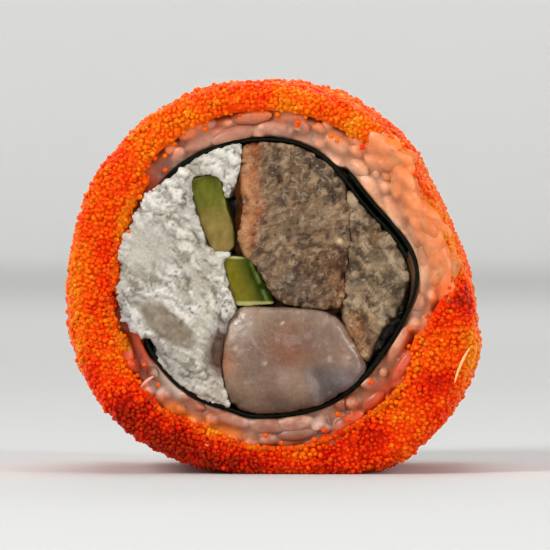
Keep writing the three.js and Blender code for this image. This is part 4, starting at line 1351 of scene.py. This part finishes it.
def fish(node, name, seed, base, dark, light, lie, lean, spots, rust=False):
    v, f = remeshed(*node_arrays(node), 0.25)
    v = relaxed(v, f, 2)
    f = outward(v, f)
    n = normals(v, f)
    w = near_ends(v)
    x, z = v[:, 0], v[:, 2]
    front = (v[:, 1] < 0).astype(float)
    c, s = math.cos(lie), math.sin(lie)
    u = x * c + z * s
    t = -x * s + z * c
    q = np.stack([u / 2.0, v[:, 1] / 1.2, t], -1)
    warp = t + 1.4 * fbm(np.stack([u / 3.5, v[:, 1] / 5, t / 3.5], -1), 2, seed)
    layer = warp / 4.6
    seam = np.abs(layer - np.round(layer)) * 4.6
    crack = np.exp(-(seam / 0.22) ** 2) * smooth((gnoise(q / 2.2, seed + 4) - 0.05) / 0.3)
    fibre = ridged(q / 0.9, 5, seed + 1, 0.65)
    crumbs = fbm(v / 0.9, 4, seed + 2, 0.65)
    pit = smooth((fbm(v / 1.3, 3, seed + 8) - 0.20) / 0.16)
    cl, sl = math.cos(lean), math.sin(lean)
    jag = 0.45 * gnoise(v / 0.9, seed + 6) + 0.3 * gnoise(v / 0.45, seed + 7)
    fu, ft = x * cl - z * sl + jag, x * sl + z * cl + jag
    border, own = flakes(np.stack([fu / 0.95, v[:, 1] / 1.2, ft / (1.5 if rust else 2.4)], -1), seed + 11)
    border2, own2 = flakes(np.stack([fu / 0.5, v[:, 1] / 0.7, ft / (0.6 if rust else 1.1)], -1), seed + 12)
    split = (1 - smooth(border / 0.22)) * smooth((own - 0.4) / 0.2)
    d = 0.16 * fibre - 0.36 * crack - 0.42 * pit + 0.20 * crumbs + 0.20 * (own - 0.5) + 0.12 * (own2 - 0.5)
    d += 0.16 * fbm(v / 2.8, 2, seed + 3) - 0.18 * split
    v = v + n * (d * w)[:, None]
    v = filled_out(v, n, 1.1 if rust else 0.5, 0.17)
    gap = np.zeros(len(v))
    if not rust:
        # the block stands a little clear of the seaweed at the lower right, and that opening is painted near black as
        # painted shade
        a = np.arctan2(z - AXIS_Z, x)
        wide = np.interp(np.degrees(a), [-46, -37, -27, -14, -4, 8], [0.0, 0.45, 1.15, 0.7, 0.4, 0.0])
        wide = wide * (1 + 0.5 * gnoise(v / 0.8, 58))
        gap = smooth((np.hypot(x, z - AXIS_Z) - (radius(LOOP, a) - 0.6 - wide)) / 0.35) * (wide > 0.05) * front
        v[:, 1] += 1.7 * gap * w
    col = np.tile(np.array(base), (len(v), 1))
    # painted shade: the sunken cracks and pits are painted dark
    col = lerp(col, np.tile(np.array(dark), (len(v), 1)), np.clip(0.9 * crack + 0.8 * pit, 0, 1))
    tone = 0.95 * (own - 0.5) + 1.0 * (own2 - 0.5) + 0.7 * crumbs + 0.65 * fbm(v / 2.6, 2, seed + 33)
    col = lerp(col, np.tile(np.array(light), (len(v), 1)), smooth((tone - 0.10) / 0.38) * 0.95)
    col = lerp(col, np.tile(np.array(dark), (len(v), 1)), smooth((-0.10 - tone) / 0.32) * 0.95)
    # painted shade: the sunken flake borders are painted darker
    col = lerp(col, np.tile(np.array(dark), (len(v), 1)), 0.6 * split)
    col = toned(col, x, z, front * (0.75 + 0.5 * gnoise(v / 0.9, seed + 77)), spots)
    if rust:
        # the left edge of the upper half is browned, with pale threads along it
        edge = x - np.interp(z, [20, 25.2, 28.4, 31.4, 34.5], [2.6, -3.2, -4.0, -2.9, -3.6])
        left = smooth((2.9 - edge) / 1.8) * smooth((z - 25.6) / 2.4) * (front * 0.6 + 0.4)
        thread = 0.75 + 0.6 * gnoise(np.stack([(x + 0.7 * z) / 0.9, v[:, 1] / 2, (z - 0.7 * x) / 3.2], -1), 90)
        col = lerp(col, np.tile([0.42, 0.135, 0.035], (len(v), 1)), np.clip(left * thread, 0, 0.92))
        pale = np.exp(-((edge - 0.5) / 0.5) ** 2) * smooth((z - 24.5) / 2)
        col = lerp(col, np.tile([0.56, 0.34, 0.18], (len(v), 1)), np.clip(0.75 * pale * thread, 0, 0.8))
        # a thin painted highlight line runs across the block under its top third
        line = np.exp(-((z - 27.3 - 0.05 * (x - 4) + 0.12 * gnoise(v / 0.9, 13)) / 0.16) ** 2)
        line *= smooth((x - 1.8) / 0.8) * smooth((8.6 - x) / 0.8) * front
        line *= smooth((gnoise(v / 0.8, 57) + 0.35) / 0.4)
        col = lerp(col, np.tile([0.40, 0.29, 0.185], (len(v), 1)), 0.6 * line)
        speck = np.exp(-((x - 7.9) / 0.35) ** 2 - ((z - 27.6) / 0.40) ** 2) * front
        col = lerp(col, np.tile([0.80, 0.66, 0.52], (len(v), 1)), speck)
        # a small hole, sunk into the surface and painted near black as painted shade
        hole = np.exp(-((x - 3.2) / 0.55) ** 2 - ((z - 26.8) / 0.38) ** 2) * front
        v = v - n * (0.5 * hole * w)[:, None]
        col = lerp(col, np.tile([0.05, 0.03, 0.02], (len(v), 1)), 0.85 * hole)
        warm = smooth((x - 6.6) / 1.8) * smooth((27 - z) / 3) * front
        col = lerp(col, col * [1.12, 0.74, 0.46], 0.85 * warm)
    else:
        warm = smooth((13.5 - x) / 3) * smooth((20.5 - z) / 4) * front
        col = lerp(col, col * [1.25, 0.88, 0.66], 0.8 * warm)
    col = col * (np.array([1.04, 0.91, 0.74]) if rust else np.array([1.14, 1.02, 0.86]))
    # painted shade: the opening at the lower right is painted near black
    col = lerp(col, np.tile([0.010, 0.006, 0.004], (len(v), 1)), 0.95 * gap)
    piece(name, v, f, fish_material(name, lean), node, np.clip(col, 0, 1))


def shrimp():
    v, f = remeshed(*node_arrays("shrimp"), 0.34)
    v = relaxed(v, f, 8)
    f = outward(v, f)
    n = normals(v, f)
    w = near_ends(v, 3.5, 16.5)
    x, z = v[:, 0], v[:, 2]
    u, t = x - 2.2, z - 11.0
    ang = np.arctan2(t, u)
    rad = np.hypot(u, t)
    groove = np.exp(-((np.sin(ang * 2.5 + 0.6) * rad) / 0.5) ** 2) * smooth((rad - 2.5) / 3)
    wrinkle = ridged(np.stack([x / 1.6, v[:, 1] / 2.0, z / 1.0], -1), 3, 35)
    d = -0.18 * groove + 0.22 * fbm(v / 2.4, 4, 33) + 0.05 * wrinkle
    bins = np.floor(np.degrees(ang) / 6).astype(int) % 60
    reach = np.zeros(60)
    np.maximum.at(reach, bins, rad)
    reach = (np.roll(reach, 1) + reach + np.roll(reach, -1)) / 3
    at = np.interp(np.mod(np.degrees(ang), 360) / 6, np.arange(61) + 0.5, np.append(reach, reach[0]))
    dome = 0.75 * np.sqrt(np.clip(1 - (rad / (at + 0.3)) ** 2, 0, 1))
    v = pressed(v + n * (d * w)[:, None], w)
    v = filled_out(v, n, 0.35, 0.10 + 0.16 * smooth((-1.5 - x) / 1.5) * smooth((z - 8.5) / 1.5))
    v[:, 1] += np.sign(v[:, 1]) * (dome - 0.35) * smooth((np.abs(v[:, 1]) - 13) / 3)
    col = np.tile([0.200, 0.128, 0.094], (len(v), 1))
    core = np.exp(-((x - 2.2) / 3.4) ** 2 - ((z - 14.6) / 2.6) ** 2)
    col = lerp(col, np.tile([0.215, 0.088, 0.044], (len(v), 1)),
               np.clip(core * (1.1 + 0.5 * gnoise(v / 2.2, 8)), 0, 1))
    # darker and greyer towards the lower right: partly the shrimp's own blue-grey, partly painted shade
    right = smooth((x - 4.2) / 3.5) * smooth((14.2 - z) / 3.5)
    col = lerp(col, np.tile([0.110, 0.085, 0.080], (len(v), 1)), 0.9 * right)
    # a paler fold runs down the middle, with a sharp right edge
    fold = x - (3.5 + 0.28 * (12.6 - z) + 0.35 * gnoise(v / 1.6, 84))
    wedge = smooth((fold + 4.6) / 2.2) * smooth((0.35 - fold) / 0.5) * smooth((13.4 - z) / 1.8) * smooth((z - 7.8) / 1.4)
    col = lerp(col, np.tile([0.31, 0.215, 0.180], (len(v), 1)), 0.80 * wedge)
    bluish = smooth((fold - 0.1) / 0.35) * smooth((1.5 - fold) / 0.7) * smooth((12.9 - z) / 1.2) * smooth((z - 7.6) / 1.4)
    shade = smooth((fold - 0.9) / 0.7) * smooth((4.6 - fold) / 2.4) * smooth((13.6 - z) / 1.4)
    col = lerp(col, np.tile([0.100, 0.086, 0.084], (len(v), 1)), 0.80 * shade)
    col = lerp(col, np.tile([0.27, 0.255, 0.265], (len(v), 1)), 0.80 * bluish * (1 - 0.6 * shade))
    # painted shade and light: darker towards the bottom, paler along the top edge
    col = lerp(col, col * [0.50, 0.42, 0.36], 0.88 * smooth((10.8 - z) / 2.6))
    col = lerp(col, np.tile([0.24, 0.185, 0.155], (len(v), 1)), 0.6 * smooth((z - 17.2) / 1.6))
    # the paler grey patch at the upper left stands partly for painted light there; the others are the shrimp's own
    # tones
    col = toned(col, x, z, 1.0, (
        (-3.8, 17.0, 1.9, 1.8, 0.85, 0.36, 0.315, 0.290), (6.7, 17.8, 2.2, 1.0, 0.55, 0.28, 0.22, 0.19),
        (-1.6, 12.8, 2.0, 2.0, 0.45, 0.20, 0.150, 0.125), (5.8, 15.6, 2.2, 1.8, 0.45, 0.19, 0.145, 0.125),
        (8.6, 14.0, 0.8, 1.6, 0.60, 0.33, 0.205, 0.160), (-5.3, 13.0, 0.9, 1.4, 0.80, 0.33, 0.150, 0.075),
        (-2.9, 9.6, 1.8, 1.6, 0.60, 0.25, 0.175, 0.120), (2.2, 9.6, 1.5, 0.9, 0.45, 0.22, 0.145, 0.085),
        (8.3, 11.4, 1.0, 0.7, 0.55, 0.25, 0.225, 0.220), (-4.7, 10.6, 0.9, 1.4, 0.50, 0.30, 0.21, 0.14)))
    # painted glints: small pale spots on the front face
    ragged = 0.75 + 0.9 * gnoise(v / 0.28, 71)
    for gx, gz, size in ((-2.6, 17.7, 0.24), (-4.3, 14.95, 0.26), (-3.8, 14.35, 0.22), (-0.95, 13.2, 0.27),
                         (6.7, 13.6, 0.26), (8.9, 13.7, 0.20), (9.3, 15.1, 0.26), (1.2, 17.9, 0.18)):
        spot = np.exp(-((x - gx) / size) ** 2 - ((z - gz) / (0.8 * size)) ** 2)
        col = lerp(col, np.tile([0.62, 0.56, 0.50], (len(v), 1)), np.clip(spot * ragged, 0, 0.85) * (v[:, 1] < 0))
    blotch = 0.32 * fbm(np.stack([x / 2.6, v[:, 1] / 3, z / 1.9], -1), 4, 61) + 0.14 * gnoise(v / 0.7, 62)
    col = col * (1 + 1.15 * blotch)[:, None]
    # pale flecks of fat and membrane
    fleck = smooth((gnoise(v / 0.55, 66) - 0.50) / 0.15) * smooth((gnoise(v / 2.6, 67) - 0.12) / 0.3)
    col = lerp(col, np.tile([0.46, 0.38, 0.33], (len(v), 1)), 0.4 * fleck * w)
    # painted highlight and shade: a band along the outline is painted paler over the upper part, palest at the upper
    # left, and darker over the lower part
    ring = smooth((rad - at + 1.7 + 0.7 * gnoise(v / 1.8, 87)) / 1.2)
    upper = smooth((z - 9.5) / 3.0)
    painted_left_highlight = smooth((-0.5 - x) / 2.5) * smooth((z - 13.8) / 1.5)
    col = lerp(col, col * (1.40 + 0.35 * painted_left_highlight)[:, None] + [0.012, 0.018, 0.022], 0.70 * ring * upper)
    col = lerp(col, col * 0.72, 0.6 * ring * (1 - upper))
    lilac = smooth((v[:, 0] - 4.0) / 3.0) * smooth((14.5 - v[:, 2]) / 3.5)
    col = col * lerp(np.tile([1.0, 0.90, 0.77], (len(v), 1)), np.tile([0.95, 0.93, 0.95], (len(v), 1)), lilac)
    piece("shrimp_body", v, f, shrimp_material(), "shrimp", np.clip(col, 0, 1))


def cucumber(node, name, skin_dir, skin_at, reach, seed, flesh, inner):
    v, f = remeshed(*node_arrays(node), 0.2)
    v = relaxed(v, f, 3)
    f = outward(v, f)
    n = normals(v, f)
    w = near_ends(v, 2.0)
    x, z = v[:, 0], v[:, 2]
    lo, hi = v.min(0), v.max(0)
    mid = (lo + hi) / 2
    k = np.array(skin_dir) / np.linalg.norm(skin_dir)
    side = (x - mid[0]) * k[0] + (z - mid[2]) * k[1]
    fine = fbm(np.stack([x / 0.7, v[:, 1] / 1.5, z / 1.6], -1), 4, seed)
    d = 0.12 * fine + 0.05 * gnoise(v / 0.5, seed + 3)
    v = v + n * (d * w)[:, None]
    v = filled_out(v, n, 0.3)
    g = smooth((side - (skin_at - reach)) / (reach * 0.8) + 0.35 * fine)
    col = lerp(np.tile(np.array(flesh), (len(v), 1)), np.tile(np.array(inner), (len(v), 1)), g)
    dark = smooth((side - skin_at + (1.6 if seed < 20 else 1.25)) / 0.9 + 0.3 * fine)
    col = lerp(col, np.tile([0.010, 0.020, 0.0004], (len(v), 1)), 0.85 * dark)
    col = col * (1 + 0.45 * fine + 0.25 * gnoise(v / 0.45, seed + 21))[:, None]
    if seed > 20:
        col = lerp(col, col * [0.50, 0.76, 0.30], smooth((z - 28.8 + 1.2 * fine) / 4.0))
    s = smooth((side - skin_at + 0.2 * gnoise(v / 0.9, seed + 9)) / 0.3)
    # painted highlight: a pale line just inside the skin
    painted_glint_line = np.exp(-((side - skin_at + 0.62) / 0.16) ** 2) * smooth((gnoise(v / 1.1, seed + 15) + 0.1) / 0.3)
    col = lerp(col, np.tile([0.26, 0.33, 0.08], (len(v), 1)), np.clip((0.5 if seed < 20 else 0.8) * painted_glint_line * w, 0, 0.8))
    col = lerp(col, np.tile([0.004, 0.008, 0.001], (len(v), 1)), s)
    # painted highlights: the wet edges of the cut, and strips along the bottom and top edges of the lower piece, are
    # painted pale as the light they catch
    facing = np.abs(n[:, 1])
    edge = np.exp(-((facing - 0.72) / 0.18) ** 2) * w * (1 - dark) * (0.25 + 0.5 * gnoise(v / 1.3, seed + 5))
    edge += 1.2 * w * smooth((lo[2] + 0.62 - z) / 0.25) * (seed < 20) * (1 - s)
    edge += 0.8 * w * smooth((z - hi[2] + 0.55) / 0.25) * (seed < 20) * (1 - dark)
    col = lerp(col, np.tile([0.56, 0.52, 0.22], (len(v), 1)), np.clip(0.85 * edge, 0, 0.9))
    piece(name, v, f, cucumber_material(), node, np.clip(col, 0, 1))


# ---------------------------------------------------------------------------------------------
# Stage, light and camera
# ---------------------------------------------------------------------------------------------

def stage():
    """A round pale sweep: floor, curve and wall in one."""
    cols = 128
    a = TAU * np.arange(cols) / cols
    path = [(0.0001, 0.0)] + [(r, 0.0) for r in (0.2, 0.6, 1.2, 1.7)]
    for d in range(10, 91, 10):
        path.append((1.7 + 0.5 * math.sin(math.radians(d)), 0.5 - 0.5 * math.cos(math.radians(d))))
    path.append((2.2, 1.6))
    rows = [np.stack([r * np.cos(a), r * np.sin(a), np.full(cols, z)], -1) for r, z in path]
    v = np.stack(rows).reshape(-1, 3)
    me = mesh_of("sweep", v, grid_faces(len(path), cols), metres=False)
    ob = bpy.data.objects.new("sweep", me)
    bpy.context.scene.collection.objects.link(ob)
    m = Mat("sweep")
    away = m.n.new("ShaderNodeVectorMath")
    away.operation = "LENGTH"
    m.link(m.co, away.inputs[0])
    # painted light: the sweep is paler and glows more the farther it lies from the middle, brightening the wall
    far = m.levels(away.outputs["Value"], 300, 2000, 0, 1)
    grain = m.levels(m.noise(0.02, 2, 0.5), 0.3, 0.7, 0.97, 1.0)
    tone = m.ramp(m.math("MULTIPLY", far, grain), [(0.0, (0.62, 0.62, 0.61)), (1.0, (0.90, 0.90, 0.89))])
    m.set(color=tone, rough=0.9, spec=0.1)
    m.bsdf.inputs["Emission Color"].default_value = (1.0, 1.0, 0.985, 1)
    m.link(m.levels(away.outputs["Value"], 500, 2200, 0.0, 0.26), m.bsdf.inputs["Emission Strength"])
    me.materials.append(m.m)


def lamp(name, where, at, size, power, colour=(1, 1, 1)):
    light = bpy.data.lights.new(name, "AREA")
    light.shape = "RECTANGLE"
    light.size, light.size_y = size
    light.energy = power
    light.color = colour
    ob = bpy.data.objects.new(name, light)
    bpy.context.scene.collection.objects.link(ob)
    ob.location = where
    ob.rotation_euler = (Vector(at) - Vector(where)).to_track_quat("-Z", "Y").to_euler()
    return ob


def lights():
    world = bpy.data.worlds.new("world")
    world.use_nodes = True
    world.node_tree.nodes["Background"].inputs["Color"].default_value = (0.93, 0.96, 1.0, 1)
    world.node_tree.nodes["Background"].inputs["Strength"].default_value = 0.03
    bpy.context.scene.world = world
    lamp("key_left", (-0.50, -0.48, 0.50), (0, 0, 0.02), (0.14, 0.36), 4.3)
    lamp("key_right", (0.60, -0.36, 0.30), (0, 0, 0.02), (0.12, 0.40), 2.1)
    lamp("top", (0.0, 0.02, 0.75), (0, 0, 0.0), (0.4, 0.4), 1.7)
    lamp("front", (0.06, -1.00, 0.25), (0, 0, 0.02), (0.25, 0.18), 0.7)
    lamp("back", (0.1, 0.8, 0.6), (0, 0, 0.03), (0.7, 0.4), 1.8)
    lamp("sweep_wash", (0.0, 0.2, 1.9), (0, 0.2, 0), (2.6, 2.6), 7.6)


def camera():
    lo, hi = CAD_BOX
    cam = bpy.data.cameras.new("camera")
    cam.sensor_width = 36
    cam.lens = 480
    ob = bpy.data.objects.new("camera", cam)
    bpy.context.scene.collection.objects.link(ob)
    centre = (Vector(lo) + Vector(hi)) / 2
    az, el = math.radians(1.0), math.radians(1.0)
    back = Vector((math.sin(az) * math.cos(el), -math.cos(az) * math.cos(el), math.sin(el)))
    wide = 0.066
    dist = wide / 2 / math.tan(math.atan(18 / cam.lens))
    ob.location = centre + back * dist
    ob.rotation_mode = "QUATERNION"
    ob.rotation_quaternion = (-back).to_track_quat("-Z", "Y")
    cam.clip_start, cam.clip_end = 0.01, 20
    bpy.context.scene.camera = ob


# ---------------------------------------------------------------------------------------------

roe_bed()
roe()
rice_middle()
rice()
slivers()
nori_sheet()
cheese()
fish("fish_a", "fish_left", 101, (0.165, 0.102, 0.056), (0.034, 0.016, 0.006), (0.34, 0.25, 0.165), 0.05, 0.1, (
    (0.9, 28.7, 2.6, 2.0, 0.60, 0.25, 0.205, 0.150), (6.3, 29.6, 2.4, 1.6, 0.50, 0.24, 0.17, 0.105),
    (6.1, 25.2, 2.1, 1.5, 0.80, 0.165, 0.076, 0.028), (1.4, 24.9, 1.7, 1.5, 0.60, 0.105, 0.060, 0.030),
    (2.8, 21.9, 3.2, 1.5, 0.70, 0.110, 0.082, 0.062), (-0.9, 24.4, 1.0, 2.4, 0.60, 0.17, 0.125, 0.105),
    (7.2, 21.6, 1.2, 2.0, 0.70, 0.21, 0.100, 0.038), (1.9, 23.1, 0.5, 0.5, 0.75, 0.40, 0.36, 0.31),
    (0.9, 27.8, 0.5, 0.4, 0.65, 0.42, 0.34, 0.25), (4.4, 22.8, 0.5, 0.4, 0.55, 0.30, 0.26, 0.22),
    (8.4, 25.6, 0.38, 1.3, 0.85, 0.055, 0.020, 0.006), (8.2, 20.6, 0.4, 0.7, 0.85, 0.09, 0.030, 0.008),
    (6.6, 20.8, 0.5, 0.4, 0.80, 0.11, 0.036, 0.010), (2.0, 34.5, 4.0, 3.0, 0.40, 0.24, 0.17, 0.11),
    (3.6, 30.6, 4.4, 1.7, 0.55, 0.33, 0.25, 0.17)), True)
fish("fish_b", "fish_right", 131, (0.195, 0.140, 0.086), (0.044, 0.026, 0.012), (0.38, 0.315, 0.225), -0.8, -0.8, (
    (11.9, 28.0, 1.0, 0.9, 0.75, 0.25, 0.155, 0.050), (12.7, 26.4, 1.4, 0.45, 0.80, 0.045, 0.026, 0.014),
    (9.6, 28.5, 0.5, 0.6, 0.70, 0.06, 0.034, 0.018), (12.9, 24.4, 2.0, 1.2, 0.60, 0.29, 0.25, 0.175),
    (15.0, 24.4, 0.5, 1.0, 0.60, 0.42, 0.37, 0.27), (9.7, 21.6, 1.0, 1.2, 0.60, 0.36, 0.31, 0.235),
    (12.9, 20.4, 1.0, 1.0, 0.45, 0.31, 0.28, 0.22), (10.1, 16.9, 1.0, 2.8, 0.75, 0.27, 0.150, 0.068),
    (12.8, 17.8, 1.2, 1.9, 0.55, 0.29, 0.265, 0.20), (14.7, 20.9, 0.7, 2.6, 0.60, 0.075, 0.058, 0.038)))
shrimp()
cucumber("cucumber_a", "cucumber_low", (1.0, 0.42), 1.65, 3.2, 11, (0.155, 0.128, 0.008), (0.020, 0.040, 0.0004))
cucumber("cucumber_b", "cucumber_high", (1.0, 0.1), 2.5, 1.6, 23, (0.235, 0.160, 0.048), (0.085, 0.080, 0.008))
stage()
lights()
camera()

view = bpy.context.scene.view_settings
view.view_transform = "Standard"
view.look = "None"
view.exposure = 0.0
view.gamma = 1.0
